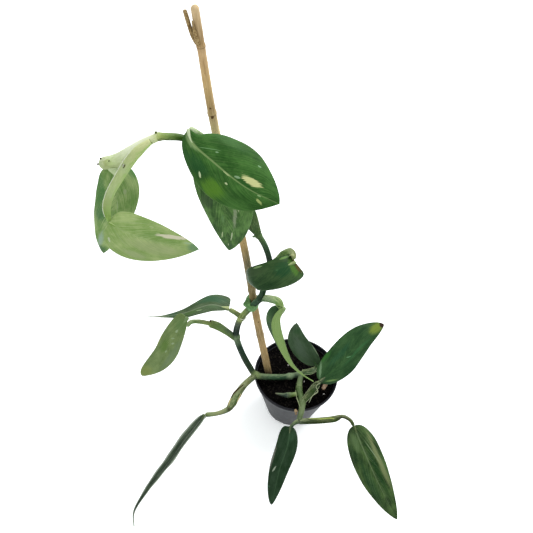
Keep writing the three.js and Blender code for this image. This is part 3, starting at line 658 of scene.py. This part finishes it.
def petiole_tube(shape, leaf, seed):
    """A petiole whose sheath clasps from its base, and ends abruptly some way before the blade."""
    start, stop, openness, left_wing, right_wing, ragged = leaf["sheath"]
    line = Line(leaf["path"])
    run = np.linspace(0, line.length, int(line.length / PETIOLE_STEP) + 2)
    place = line.place_at(run)
    share = run / line.length
    half, depth = (np.interp(place, range(len(leaf[key])), leaf[key]) for key in ("half", "depth"))
    core = np.minimum(half, leaf["half"][-1] * 1.1)
    half = half + (core - half) * smooth(stop, stop + 0.04, share)
    opened = smooth(start, start + 0.12, share) * (1 - smooth(stop - 0.02, stop + 0.02, share)) * openness
    opened, end = opened[:, None], round_end((line.length - run) / half, 0.03)
    below = np.linspace(np.pi, 2 * np.pi, UNDERSIDE + 2)[1:-1]
    angle = np.concatenate([TOP, np.pi - TOP[-2::-1], below])
    sheath_out = np.concatenate([[-v for v in OPEN_OUT] + OPEN_OUT[-2::-1], -OPEN_OUT[0] * np.cos(below)])
    sheath_up = np.concatenate([OPEN_UP + OPEN_UP[-2::-1], np.sin(below)])
    at_wing = np.concatenate([WING + WING[-2::-1], 0 * below])
    wing = np.where(np.cos(angle) > 0, left_wing, right_wing)
    torn = 1 + ragged * (ripple(run * 1.1, seed) + 0.6 * ripple(run * 3.1, seed + 5))
    lift = 1 + (wing * torn[:, None] - 1) * at_wing
    out = (sheath_out * opened - np.cos(angle) * (1 - opened)) * (half * end)[:, None]
    high = (np.sin(angle) * (1 - opened) + sheath_up * lift * opened) * (depth * end)[:, None]
    edge = at_wing * smooth(0, 0.5, opened) * (wing > 0.7)
    tube_skin(shape, line.frames(place, OUT_AND_UP), angle, out, high, edge, place[:, None], run, PETIOLE)


# Blade

STATIONS = 150
CROWDING = 0.7  # how much closer the stations are at base and tip
ACROSS = 20
MARGIN_THICK = 0.3
BLADE_THICK = 0.55
VEIN_GAP = 5  # between side veins, along the midrib
VEIN_SWEEP = 0.35  # how far a side vein sweeps forward: a share of the blade's length
VEIN_SUNK = 0.06
WAVE = 0.7  # how far the margin waves up and down
HALVES_APART = 40.0  # keeps the two halves' streaks from mirroring each other
LOBE_END = 0.3  # share of the midrib beside which a basal lobe is swept back
COLLAR = 8  # how far the petiole's end rides up on the blade
RIB_STATIONS, RIB_SIDES = 160, 14
RIB_REACH = 0.97  # share of the blade's length
RIB_BASE, RIB_TIP = 1.1, 0.35  # half-widths
RIB_SHARE = 0.1  # how clearly most midribs show
NO_WING, LAST_TONE = 0.0, 100.0  # what a midrib's place holds


def outline_share(t, base, tip):
    widest = base / (base + tip)
    share = (t**base * (1 - t) ** tip) / (widest**base * (1 - widest) ** tip)
    return np.maximum(share, 0.02)


def blade_side(side, t, run, width, bend, outline, lobe, crease, seed):
    """Rows from the midrib to one margin, in layers.

    They are the offsets right, up and back, the normal's right and up, relief, thickness, place and veins.
    """
    s = np.linspace(0, 1, ACROSS + 1)
    inner, outer = np.radians(bend)
    mid = inner + (outer - inner) * (s[1:] + s[:-1]) / 2
    out, rise = (np.concatenate([[0], np.cumsum(trig(mid) * np.diff(s))]) for trig in (np.cos, np.sin))
    angle = inner + (outer - inner) * s
    share = outline_share(t, *outline)[:, None]
    run = run[:, None]
    reach = width * share
    away = reach * s
    forward = run - VEIN_SWEEP * run[-1] * (s + s**2)
    vein = np.abs((forward / VEIN_GAP) % 1 - 0.5) * 2
    relief = -crease * np.exp(-((away / 0.9) ** 2)) * smooth(0, 3, run)
    relief = relief - VEIN_SUNK * np.exp(-(((1 - vein) / 0.2) ** 2)) * smooth(0.5, 3, away) * (1 - s**4)
    relief = relief + WAVE * s**3 * ripple(run / 9, seed) * np.clip(reach / 12, 0, 1)
    back = lobe * share * s**2 * np.clip(1 - t / LOBE_END, 0, 1)[:, None] ** 2
    thick = MARGIN_THICK + (BLADE_THICK - MARGIN_THICK) * (1 - s**6)
    shift, normal = (side * reach * out, reach * rise, back), (-side * np.sin(angle), np.cos(angle))
    place, veins = (side * away, run, s), (forward, away, side * HALVES_APART)
    return stacked(*shift, *normal, relief, thick, *place, *veins, axis=0)


def blade_frames(leaf, line, run):
    """The frames along a blade, whose facing turns from base to tip."""
    base, tip = np.broadcast_to(leaf.get("facing", OUT_AND_UP), (2, 3))
    return line.frames(line.place_at(run), base + (tip - base) * (run / line.length)[:, None])


def blade_skin(shape, leaf, crease, seed):
    line = Line(leaf["spine"])
    even = np.linspace(0, 1, STATIONS + 1)
    t = even + ((1 - np.cos(np.pi * even)) / 2 - even) * CROWDING
    run = t * line.length
    bends = np.broadcast_to(leaf.get("bend", (5, -20)), (2, 2))
    outlines = np.broadcast_to(leaf["outline"], (2, 2))
    halves = zip((-1, 1), leaf["width"], bends, outlines, leaf.get("lobe", (0, 0)))
    left, right_half = (
        blade_side(side, t, run, *form, crease, seed + i) for i, (side, *form) in enumerate(halves)
    )
    layers = np.concatenate([left[..., ::-1], right_half[..., 1:]], axis=-1)
    out, high, back, turn_out, turn_high, relief, thick = layers[:7, ..., None]
    centre, up, right = (v[:, None] for v in blade_frames(leaf, line, run))
    surface = centre + right * out + up * high - line.tangent(line.place_at(run))[:, None] * back
    normal = right * turn_out + up * turn_high
    upper = surface + normal * relief
    lower = upper - normal * thick
    grid = np.concatenate([upper, lower[:, ::-1]], axis=1)
    places, veins = (np.moveaxis(layers[k:k + 3], 0, -1) for k in (7, 10))
    places, veins = (np.concatenate([v, v[:, ::-1]], axis=1) for v in (places, veins))
    slots = [BLADE] * (2 * ACROSS) + [UNDER] * (2 * ACROSS + 2)
    shape.rings(grid, slots, places, veins)
    rib_tube(shape, line, leaf)


def rib_tube(shape, line, leaf):
    """The raised midrib below the blade. At the base it rides up on the blade as the petiole's end."""
    run = np.linspace(0, line.length * RIB_REACH, RIB_STATIONS)
    centre, up, right = blade_frames(leaf, line, run)
    riding = np.exp(-((run / leaf.get("collar", COLLAR)) ** 2))
    keel = leaf.get("keel", 1)
    start = leaf.get("nose", leaf["half"][-1])
    radius = keel * (RIB_TIP + (RIB_BASE - RIB_TIP) * (1 - run / line.length)) + (start - RIB_BASE) * riding
    radius = radius * round_end(np.minimum(run + 1, run[-1] - run) / 2)
    centre = centre - up * ((0.5 * keel + radius) * (1 - 0.9 * riding))[:, None]
    angle, radius = all_round(RIB_SIDES), radius[:, None]
    out, high = -np.cos(angle) * radius, np.sin(angle) * radius
    tube_skin(shape, (centre, up, right), angle, out, high, NO_WING, LAST_TONE, run, PETIOLE)


# Materials

STUDIO_LIGHT = 1.65  # how much light falls on the plant, where 1 makes a white thing display white
SHEEN = 0.011  # what the surfaces' faint gloss adds
UNLIMITED = 1000  # an oval's size in the direction that doesn't count
EDGE = (0.965, 0.99, 0.0, 0.15)  # a blade's thin pale edge: where on the way to the margin, and how clear


def linear(code, light):
    """The linear colour that makes a surface look like code in so much light."""
    parts = [((code >> shift) & 255) / 255 for shift in (16, 8, 0)]
    seen = [c / 12.92 if c <= 0.04045 else ((c + 0.055) / 1.055) ** 2.4 for c in parts]
    return [max(c - SHEEN, 0.001) / light for c in seen] + [1]


class Paint:
    """One material, built node by node. base is the colour so far, which each coat goes over."""

    def __init__(self, name, roughness, specular, light=STUDIO_LIGHT):
        self.material = bpy.data.materials.new(name)
        self.material.use_nodes = True
        self.tree = self.material.node_tree
        self.shader = self.tree.nodes["Principled BSDF"]
        self.shader.inputs["Roughness"].default_value = roughness
        self.shader.inputs["Specular IOR Level"].default_value = specular
        self.light = light
        self.base = None

    def node(self, kind, values=(), **settings):
        made = self.tree.nodes.new("ShaderNode" + kind)
        for key, value in settings.items():
            setattr(made, key, value)
        for key, value in dict(values).items():
            self.feed(made.inputs[key], value)
        return made

    def feed(self, socket, value):
        if isinstance(value, bpy.types.NodeSocket):
            self.tree.links.new(value, socket)
        else:
            socket.default_value = value

    def attribute(self, name):
        return self.node("Attribute", attribute_name=name).outputs["Vector"]

    def object_place(self):
        """Where a point is, in metres."""
        return self.node("TexCoord").outputs["Object"]

    def split(self, vector):
        return self.node("SeparateXYZ", {0: vector}).outputs

    def math(self, operation, a, b):
        return self.node("Math", {0: a, 1: b}, operation=operation).outputs[0]

    def plus(self, a, b, times):
        """a with times b added."""
        return self.math("ADD", a, self.math("MULTIPLY", b, times))

    def step(self, value, low, high, to_low=0.0, to_high=1.0):
        inputs = {0: value, 1: low, 2: high, 3: to_low, 4: to_high}
        return self.node("MapRange", inputs, interpolation_type="SMOOTHSTEP").outputs[0]

    def noise(self, vector, scale, size, detail=3.0, roughness=0.55):
        """Noise in a vector stretched by scale. size is the length of one blotch."""
        stretched = self.node("Mapping", {"Vector": vector, "Scale": scale}).outputs[0]
        inputs = {"Vector": stretched, "Scale": 1 / size, "Detail": detail, "Roughness": roughness}
        return self.node("TexNoise", inputs).outputs["Fac"]

    def mix(self, share, a, b):
        share_in, a_in, b_in, result = 0, 6, 7, 2  # a Mix node's sockets for colours
        made = self.node("Mix", {share_in: share}, data_type="RGBA")
        for socket, colour in ((a_in, a), (b_in, b)):
            value = linear(colour, self.light) if isinstance(colour, int) else colour
            self.feed(made.inputs[socket], value)
        return made.outputs[result]

    def coat(self, colour, value, *steps):
        """Lays colour over the base where step, given value and the rest, says how thickly."""
        self.base = self.mix(self.step(value, *steps), self.base, colour)

    def ramp(self, value, stops):
        """Colour along a value that starts at 0, from a list of values and colours."""
        last = stops[-1][0]
        made = self.node("ValToRGB", {"Fac": self.math("DIVIDE", value, last)})
        elements = made.color_ramp.elements
        elements[0].color = linear(stops[0][1], self.light)
        elements[1].color = linear(stops[-1][1], self.light)
        for at, code in stops[1:-1]:
            elements.new(at / last).color = linear(code, self.light)
        return made.outputs[0]

    def away_from(self, place, along, out, length, width, turn):
        """Distance from an oval's middle in a blade's place coordinates, where 1 is its edge."""
        inputs = {"Vector": place, "Location": (out, along, 0), "Rotation": (0, 0, math.radians(turn))}
        inputs["Scale"] = (width / 2, length / 2, UNLIMITED)
        near = self.node("Mapping", inputs, vector_type="TEXTURE").outputs[0]
        return self.node("VectorMath", {0: near}, operation="LENGTH").outputs["Value"]

    def side_veins(self, veins, colour, strength):
        """Thin lines where a blade's side veins run."""
        lines = self.math("PINGPONG", self.math("DIVIDE", self.split(veins)[0], VEIN_GAP), 0.5)
        self.coat(colour, lines, 0.0, 0.08, strength, 0.0)

    def done(self, height=None, distance=0.0):
        """The material, finished with its base colour and a relief from height, of a distance in metres."""
        if height is not None:
            bump = self.node("Bump", {"Height": height, "Distance": distance})
            self.feed(self.shader.inputs["Normal"], bump.outputs[0])
        self.feed(self.shader.inputs["Base Color"], self.base)
        return self.material


def blade_paint(name, leaf):
    """A blade's upper side: streaks that follow the side veins, soft zones (some of them painted shadow and
    painted sheen), crisp flecks and a midrib.
    """
    paint = Paint(name, roughness=0.45, specular=0.1)
    dark, light, rib = leaf["dark"], leaf["light"], leaf["rib"]
    place, veins = paint.attribute("place"), paint.attribute("veins")
    side, along, share = paint.split(place)
    streak = paint.noise(veins, (1, 0.2, 1), 2.5, detail=5, roughness=0.65)
    cloud = paint.noise(place, (1, 0.6, 0), 14, detail=4, roughness=0.6)
    paint.base = dark
    paint.coat(light, paint.plus(paint.math("MULTIPLY", streak, 0.45), cloud, 0.55), 0.4, 0.62)
    grain = paint.step(paint.noise(veins, (1, 0.15, 1), 2.5, detail=4, roughness=0.7), 0.3, 0.7, -1, 1)
    for *oval, code, strength in leaf.get("zones", ()):
        paint.coat(code, paint.plus(paint.away_from(place, *oval), grain, 0.4), 0.5, 1.2, strength, 0.0)
    mottle = paint.noise(veins, (1, 0.5, 1), 1.1, detail=4, roughness=0.7)
    paint.coat(light, mottle, 0.52, 0.72, 0.0, 0.5)
    paint.coat(dark, mottle, 0.28, 0.46, 0.5, 0.0)
    paint.side_veins(veins, rib, 0.1)
    for *oval, code in leaf.get("marks", ()):
        paint.coat(code, paint.plus(paint.away_from(place, *oval), grain, 0.3), 0.8, 1.1, 1.0, 0.0)
    fine = paint.noise(veins, (1, 0.05, 1), 1.3, detail=3, roughness=0.65)
    paint.coat(rib, fine, 0.54, 0.68, 0.0, leaf.get("streaks", 0.15))
    speck = paint.noise(veins, (1, 0.25, 1), 0.8, detail=1)
    paint.coat(rib, speck, 0.7, 0.76, 0.0, 0.4)
    beyond = paint.math("SUBTRACT", paint.math("ABSOLUTE", side, 0.0), paint.step(along, 0, 110, 0.9, 0.3))
    midrib = paint.step(beyond, -0.3, 0.3, leaf.get("rib_share", RIB_SHARE), 0.0)
    midrib = paint.math("MULTIPLY", midrib, paint.step(along, 60, 130, 1.0, 0.3))
    paint.base = paint.mix(midrib, paint.base, rib)
    paint.coat(rib, share, *leaf.get("edge", EDGE))
    return paint.done(mottle, 0.0001)


def under_paint(name, leaf):
    """A blade's lower side: paler, duller, with the side veins standing out."""
    paint = Paint(name, roughness=0.6, specular=0.05)
    veins = paint.attribute("veins")
    paint.base = leaf.get("under_dark", leaf["light"])
    streak = paint.noise(veins, (1, 0.08, 1), 4, detail=5)
    paint.coat(leaf.get("under", 0x93A97E), streak, 0.36, 0.64)
    fine = paint.noise(veins, (1, 0.06, 1), 1.1, detail=4)
    paint.coat(leaf.get("under_rib", leaf["rib"]), fine, 0.52, 0.72, 0.0, leaf.get("streaks", 0.5))
    paint.side_veins(veins, leaf["rib"], 0.2)
    paint.coat(leaf["rib"], paint.split(paint.attribute("place"))[2], *leaf.get("edge", EDGE))
    return paint.done(paint.noise(veins, (1, 0.3, 1), 0.5, detail=2), 0.00006)


def round_paint(name, tones, light, roughness=0.5):
    """Paint with tones along a stem. Also its nearness to a joint or wing, how far it faces the painted
    light and the way round it.
    """
    paint = Paint(name, roughness=roughness, specular=0.08, light=light)
    near, light_facing, at = paint.split(paint.attribute("place"))
    paint.base = paint.ramp(at, tones)
    return paint, near, light_facing, paint.attribute("veins")


def green_streaks(paint, light_facing, around):
    """Fine streaks, and the same joined with how far the surface faces the painted light, for painted light
    on the side facing it and painted shade on the other.
    """
    streak = paint.noise(around, (1.5, 1.5, 0.08), 0.4, detail=5, roughness=0.65)
    return streak, paint.plus(light_facing, paint.math("SUBTRACT", streak, 0.5), 3)


def petiole_paint(name, leaf):
    """A petiole: tones along it, fine streaks, painted light on its upper side and painted shade on its
    lower side, and thin pale wings.
    """
    paint, edge, light_facing, around = round_paint(name, leaf["tones"], leaf["lit"])
    streak, lit = green_streaks(paint, light_facing, around)
    # painted light on the side that faces the light, painted shade on the side away from it
    paint.coat(leaf.get("painted_light_tone", 0xC4CF9C), lit, 0.3, 1.2, 0.0, 0.5)
    paint.coat(leaf.get("painted_shade_tone", leaf["dark"]), lit, -0.9, 0.3, 0.8, 0.0)
    dry = paint.step(paint.noise(around, (0.2, 0.2, 0.3), 1.0), 0.45, 0.6)
    paint.coat(paint.mix(dry, leaf["wing"], leaf.get("dry", leaf["wing"])), edge, 0.35, 0.85)
    return paint.done(streak, 0.0002)


def stem_paint(name, tones, light):
    """A stem: tones along it, fine streaks, painted light on its upper side and painted shade on its lower
    side, dark dust and a dark line at each joint.
    """
    paint, near, light_facing, around = round_paint(name, tones, light)
    streak, lit = green_streaks(paint, light_facing, around)
    # painted light on the side that faces the light, painted shade on the side away from it
    paint.coat(0x92A57C, lit, 0.3, 1.2, 0.0, 0.4)
    paint.coat(0x1B281E, lit, -0.9, 0.2, 0.7, 0.0)
    paint.coat(0x14241A, paint.noise(around, (2, 2, 0.8), 0.5, detail=2), 0.66, 0.75, 0.0, 0.4)
    paint.coat(0x2A2C1C, near, 0.5, 0.95, 0.0, 0.6)
    return paint.done(streak, 0.0002)


def cane_paint():
    """Dry bamboo: fine fibres, darker joints and stains, paler towards the top."""
    paint, near, _, around = round_paint("bamboo", CANE_TONES, 1.2, roughness=0.6)
    fibre = paint.noise(around, (1.5, 1.5, 0.02), 0.3, detail=5)
    paint.coat(0xD9C398, fibre, 0.5, 0.7, 0.0, 0.4)
    paint.coat(0x8A6E48, fibre, 0.3, 0.5, 0.4, 0.0)
    paint.coat(0x8F7048, paint.noise(around, (0.5, 0.5, 0.03), 1.0), 0.56, 0.7, 0.0, 0.5)
    paint.coat(0x4A3A24, paint.noise(around, (1.5, 1.5, 0.4), 1.0, detail=2), 0.68, 0.74, 0.0, 0.7)
    paint.coat(0x5A4630, near, 0.3, 0.9, 0.0, 0.8)
    return paint.done(fibre, 0.0002)


def pot_paint():
    """Moulded plastic, grey on the wall and darker at the rim and inside as painted shade, faintly scuffed.
    """
    paint = Paint("pot", roughness=0.5, specular=0.15)
    place = paint.object_place()
    scuff = paint.noise(place, (1, 1, 0.4), 0.004, detail=5)
    scuffed = paint.step(scuff, 0.4, 0.7)
    paint.base = paint.mix(scuffed, 0x47484B, 0x545558)
    # painted shade: darker at the rim and inside, above 72 mm
    paint.coat(paint.mix(scuffed, 0x1E1F24, 0x2B2C31), paint.split(place)[2], 0.072, 0.074)
    return paint.done(scuff, 0.00008)


def soil_paint():
    """Dark potting mix."""
    paint = Paint("soil", roughness=0.95, specular=0.02)
    crumb = paint.noise(paint.object_place(), (1, 1, 1), 0.002, detail=6, roughness=0.7)
    paint.base = paint.mix(paint.step(crumb, 0.4, 0.7), 0x0B0B0C, 0x262424)
    return paint.done(crumb, 0.0008)


def plain_paint(name, dark, light, size, roughness, relief):
    """A grainy surface between two tones. The grains' size and relief are in metres."""
    paint = Paint(name, roughness=roughness, specular=0.08)
    grain = paint.noise(paint.object_place(), (1, 1, 1), size, detail=4)
    paint.base = paint.mix(paint.step(grain, 0.35, 0.65), dark, light)
    return paint.done(grain, relief)


# Pieces


def make_leaf(name, leaf, seed):
    shape = Shape()
    blade_skin(shape, leaf, 0.05 + 0.3 * leaf.get("rib_share", RIB_SHARE), seed)
    petiole_tube(shape, leaf, seed)
    materials = [
        blade_paint(name + "_blade", leaf),
        under_paint(name + "_under", leaf),
        petiole_paint(name + "_petiole", leaf),
    ]
    shape.piece(name + "_grown", materials, name, slot="leaf")


def make_stem():
    shape = Shape()
    materials = [
        stem_paint("stem", STEM_TONES, 1.05),
        stem_paint("front_shoot", FRONT_TONES, 1.8),
        stem_paint("side_shoot", SIDE_TONES, 1.25),
    ]
    stem_tube(shape, seed=3, **MAIN_STEM)
    stem_tube(shape, seed=4, slot=1, swell=0.8, **FRONT_SHOOT)
    stem_tube(shape, seed=5, slot=2, **SIDE_SHOOT)
    stem_tube(shape, seed=6, **ROOT_NUB)
    for half, dark, light, path in SEAMS:
        halves = [0.6 * half] + [half] * (len(path) - 2) + [0.6 * half]
        stem_tube(shape, path, halves, sides=10, slot=len(materials))
        materials.append(plain_paint("sheath_edge", dark, light, 0.001, 0.6, 0.0001))
    draw = np.random.default_rng(31)
    for centre, size, code in SCARS:
        clod(shape, centre, size, draw, len(materials))
        materials.append(plain_paint("scar", code, code, 0.001, 0.8, 0.0001))
    shape.piece("stem_grown", materials, "stem", slot="stem")


def make_cane():
    shape = Shape()
    draw = np.random.default_rng(47)
    stem_tube(shape, seed=8, swell=0.6, reach=2.2, sides=36, **CANE)
    for i, branch in enumerate(CANE_BRANCHES):
        stem_tube(shape, seed=9 + i, facing=(0, -1, 0), sides=20, slot=1, **branch)
    for centre, size in CANE_SCARS:
        clod(shape, centre, size, draw, 2)
    materials = [
        cane_paint(),
        plain_paint("twig", 0x8A7048, 0xC2A878, 0.002, 0.7, 0.0003),
        plain_paint("cane_scar", 0x4E3A24, 0x7A5E3C, 0.001, 0.8, 0.0001),
    ]
    shape.piece("cane_grown", materials, "cane", slot="cane")


def turned(profile, sides):
    """Rings of a turned skin. The profile runs from the bottom's middle round to the inside's middle."""
    angle = -all_round(sides)
    r, z = (np.array(v, float)[:, None] for v in zip(*profile))
    return stacked(r * np.cos(angle), r * np.sin(angle), z)


def make_pot():
    shape = Shape()
    high, rim, base, wall = POT["height"], POT["rim"], POT["base"], POT["wall"]
    lip = high - POT["lip"]
    top = rim - POT["lip_out"]
    inner = top - wall
    profile = [(0.5, 0), (base - 1.2, 0), (base - 0.3, 0.4), (base, 1.2)]
    profile += [(base + (top - 1 - base) * k / 8, 1.2 + (lip - 2.2) * k / 8) for k in range(1, 9)]
    profile += [(top - 0.6, lip - 0.8), (rim - 0.4, lip - 0.2), (rim, lip + 0.5)]
    profile += [(rim, high - 0.6), (rim - 0.2, high - 0.15), (rim - 0.5, high)]
    profile += [(inner + 0.5, high), (inner + 0.15, high - 0.15), (inner, high - 0.6)]
    profile += [(base - wall, wall), (0.5, wall)]
    shape.rings(turned(profile, POT_SIDES))
    pot = shape.piece("pot_moulded", [pot_paint()], "pot", slot="pot")
    cut_drains(pot)


def cut_drains(pot):
    """Cuts the drain notches round the base."""
    cutters = bmesh.new()
    count, width, height = POT_DRAINS["count"], POT_DRAINS["width"], POT_DRAINS["height"]
    for i in range(count):
        turn = Matrix.Rotation(2 * math.pi * (i + 0.5) / count, 4, "Z")
        move = Matrix.Translation((POT["base"] * MM, 0, (height / 2 - 1) * MM))
        matrix = turn @ move @ Matrix.Diagonal((width, width, height, 1))
        bmesh.ops.create_cube(cutters, size=MM, matrix=matrix)
    mesh = bpy.data.meshes.new("drains")
    cutters.to_mesh(mesh)
    cutters.free()
    cutter = new_object("drains", mesh)
    cut = pot.modifiers.new("drains", "BOOLEAN")
    cut.operation, cut.solver, cut.object = "DIFFERENCE", "EXACT", cutter
    bpy.context.view_layer.update()
    whole = bpy.data.meshes.new_from_object(pot.evaluated_get(bpy.context.evaluated_depsgraph_get()))
    pot.modifiers.clear()
    pot.data = whole
    bpy.data.objects.remove(cutter)


def soil_height(x, y):
    """The soil's uneven surface, as height over its level."""
    low = np.sin(x * 0.9 + y * 0.5) + np.sin(y * 0.8 - x * 0.35 + 2)
    fine = np.sin(x * 2.3 + 1) * np.sin(y * 2.6) + np.sin(x * 4.1 - y * 3.3)
    return 0.35 * low + 0.25 * fine


def make_soil():
    shape = Shape()
    base, wall = POT["base"], POT["wall"]
    bottom = base - wall - SOIL_GAP
    top = base + (POT["rim"] - POT["lip_out"] - base) * SOIL_LEVEL / POT["height"] - wall - SOIL_GAP
    profile = [(0.5, wall + 0.3), (bottom, wall + 0.3), (top, SOIL_LEVEL)]
    profile += [(top * k / SOIL_RINGS, SOIL_LEVEL) for k in range(SOIL_RINGS - 1, 0, -1)]
    grid = turned(profile, SOIL_SIDES)
    x, y, z = np.moveaxis(grid, -1, 0)
    z += np.where((z > SOIL_LEVEL - 1) & (np.hypot(x, y) < top - 1), soil_height(x, y), 0)
    shape.rings(grid)
    scatter_crumbs(shape, top)
    materials = [
        soil_paint(),
        plain_paint("crumbs", 0x0E0D0D, 0x34302C, 0.0015, 0.95, 0.0004),
        plain_paint("perlite", 0xCFCAC0, 0xF2F0EA, 0.0008, 0.8, 0.0002),
    ]
    shape.piece("soil_mix", materials, "soil", slot="soil")


def clod(shape, centre, size, draw, slot):
    """A small rounded lump, with an uneven skin."""
    polar, angle = np.linspace(0.25, np.pi - 0.25, CLOD_ROWS)[:, None], -all_round(CLOD_SIDES)
    bumpy = 1 + draw.uniform(-0.25, 0.25, (CLOD_ROWS, CLOD_SIDES))
    stretch = draw.uniform(0.7, 1.3, 3)
    ball = stacked(np.sin(polar) * np.cos(angle), np.sin(polar) * np.sin(angle), -np.cos(polar))
    shape.rings(np.array(centre) + ball * bumpy[..., None] * stretch * size, slot)


def scatter_crumbs(shape, top):
    draw = np.random.default_rng(21)
    for _ in range(CRUMBS):
        r, a = (top - CRUMB_MARGIN) * math.sqrt(draw.uniform(0, 1)), draw.uniform(0, 2 * math.pi)
        x, y = r * math.cos(a), r * math.sin(a)
        size = draw.uniform(*CRUMB_SIZES)
        clod(shape, (x, y, SOIL_LEVEL + soil_height(x, y) + size * 0.2), size, draw, 1)
    for x, y, size in PERLITE:
        clod(shape, (x, y, SOIL_LEVEL + soil_height(x, y) + size * 0.4), size, draw, 2)


def make_chip():
    shape = Shape()
    length = np.linspace(-0.5, 0.5, 40)[:, None]
    w, l, h = WOOD_CHIP["size"]
    angle = all_round(24)
    out, high = squarish(angle)
    taper = np.clip(1.02 - np.abs(length * 2) ** 7, 0.1, 1)
    grain = 1 + 0.07 * np.sin(9 * angle + 3 * length) + 0.05 * ripple(30 * length + 5 * angle, 3)
    grid = stacked(-out * w / 2 * taper * grain, length * l, high * h / 2 * taper * grain)
    turn = turning(WOOD_CHIP["turn"], "Z") @ turning(WOOD_CHIP["tip"], "X")
    shape.rings(grid @ turn.T + np.array(WOOD_CHIP["centre"]))
    paint = plain_paint("chip", 0xB48C6A, 0xEAD2B8, 0.002, 0.8, 0.0005)
    shape.piece("wood_chip_raw", [paint], "wood_chip", slot="wood_chip")


def make_tie():
    """The clip: a soft ring round cane and stem, thick on the left, with a pointed finger tab."""
    shape = Shape()
    angle = all_round(160)[:, None]
    share, high = squarish(-all_round(24))
    from_tab = (angle - math.radians(TIE["tab_at"])) / TIE["tab_spread"]
    tab = TIE["tab"] * np.exp(-(from_tab**2))
    outer = [(radius + tab) * trig(angle) for radius, trig in zip(TIE["outer"], (np.cos, np.sin))]
    inner = [radius * trig(angle) for radius, trig in zip(TIE["hole"], (np.cos, np.sin))]
    x, y = ((a + b) / 2 + (a - b) / 2 * share for a, b in zip(outer, inner))
    z = TIE["height"] / 2 * (1 - TIE["tab_thinner"] * tab / TIE["tab"]) * high
    grid = stacked(x, y, z) @ turning(TIE["tilt"], "Y").T + np.array(TIE["centre"])
    shape.rings(grid, closed=True)
    paint = plain_paint("mint", 0x5E8C54, 0x80AC70, 0.005, 0.45, 0.0001)
    shape.piece("tie_soft", [paint], "tie", slot="tie")


def make_floor():
    mesh = bpy.data.meshes.new("floor")
    corners = [(x * FLOOR_HALF, y * FLOOR_HALF, 0) for x, y in ((-1, -1), (1, -1), (1, 1), (-1, 1))]
    mesh.from_pydata(corners, [], [(0, 1, 2, 3)])
    paint = Paint("floor", roughness=0.9, specular=0.0)
    paint.shader.inputs["Emission Color"].default_value = (0.97, 0.99, 1, 1)
    paint.shader.inputs["Emission Strength"].default_value = FLOOR_GLOW
    paint.base = (0.95, 0.96, 0.97, 1)
    mesh.materials.append(paint.done())
    floor = new_object("floor", mesh)
    floor.location.z = -FLOOR_DROP


def make_light(name, place, size, power):
    data = bpy.data.lights.new(name, "AREA")
    data.shape, data.size, data.energy = "DISK", size, power
    light = new_object(name, data)
    light.location = place
    light.rotation_mode = "QUATERNION"
    light.rotation_quaternion = (Vector(LIGHT_AIM) - Vector(place)).to_track_quat("-Z", "Y")


def make_studio():
    world = bpy.data.worlds.new("studio")
    world.use_nodes = True
    background = world.node_tree.nodes["Background"]
    background.inputs["Color"].default_value = (0.98, 1.0, 1.0, 1)
    background.inputs["Strength"].default_value = SKY_STRENGTH
    bpy.context.scene.world = world
    bpy.context.scene.view_settings.view_transform = "Standard"
    for light in LIGHTS:
        make_light(*light)
    make_floor()


def make_camera():
    down, roll = math.radians(CAMERA_DOWN), math.radians(CAMERA_ROLL)
    forward = Vector((0, math.cos(down), -math.sin(down)))
    level_up = Vector((0, math.sin(down), math.cos(down)))
    level_right = Vector((1, 0, 0))
    right = level_right * math.cos(roll) + level_up * math.sin(roll)
    up = level_up * math.cos(roll) - level_right * math.sin(roll)
    data = bpy.data.cameras.new("camera")
    data.sensor_width = SENSOR
    data.lens = SENSOR * FOCAL_PIXELS / IMAGE_WIDTH
    camera = new_object("camera", data)
    turn = Matrix((right, up, -forward)).transposed()
    camera.matrix_world = Matrix.Translation(Vector(CAMERA_AT) * MM) @ turn.to_4x4()
    bpy.context.scene.camera = camera


make_camera()
make_studio()
make_pot()
make_soil()
make_chip()
make_cane()
make_stem()
make_tie()
for number, (leaf_name, leaf_form) in enumerate(LEAVES.items()):
    make_leaf(leaf_name, leaf_form, seed=10 * number + 1)
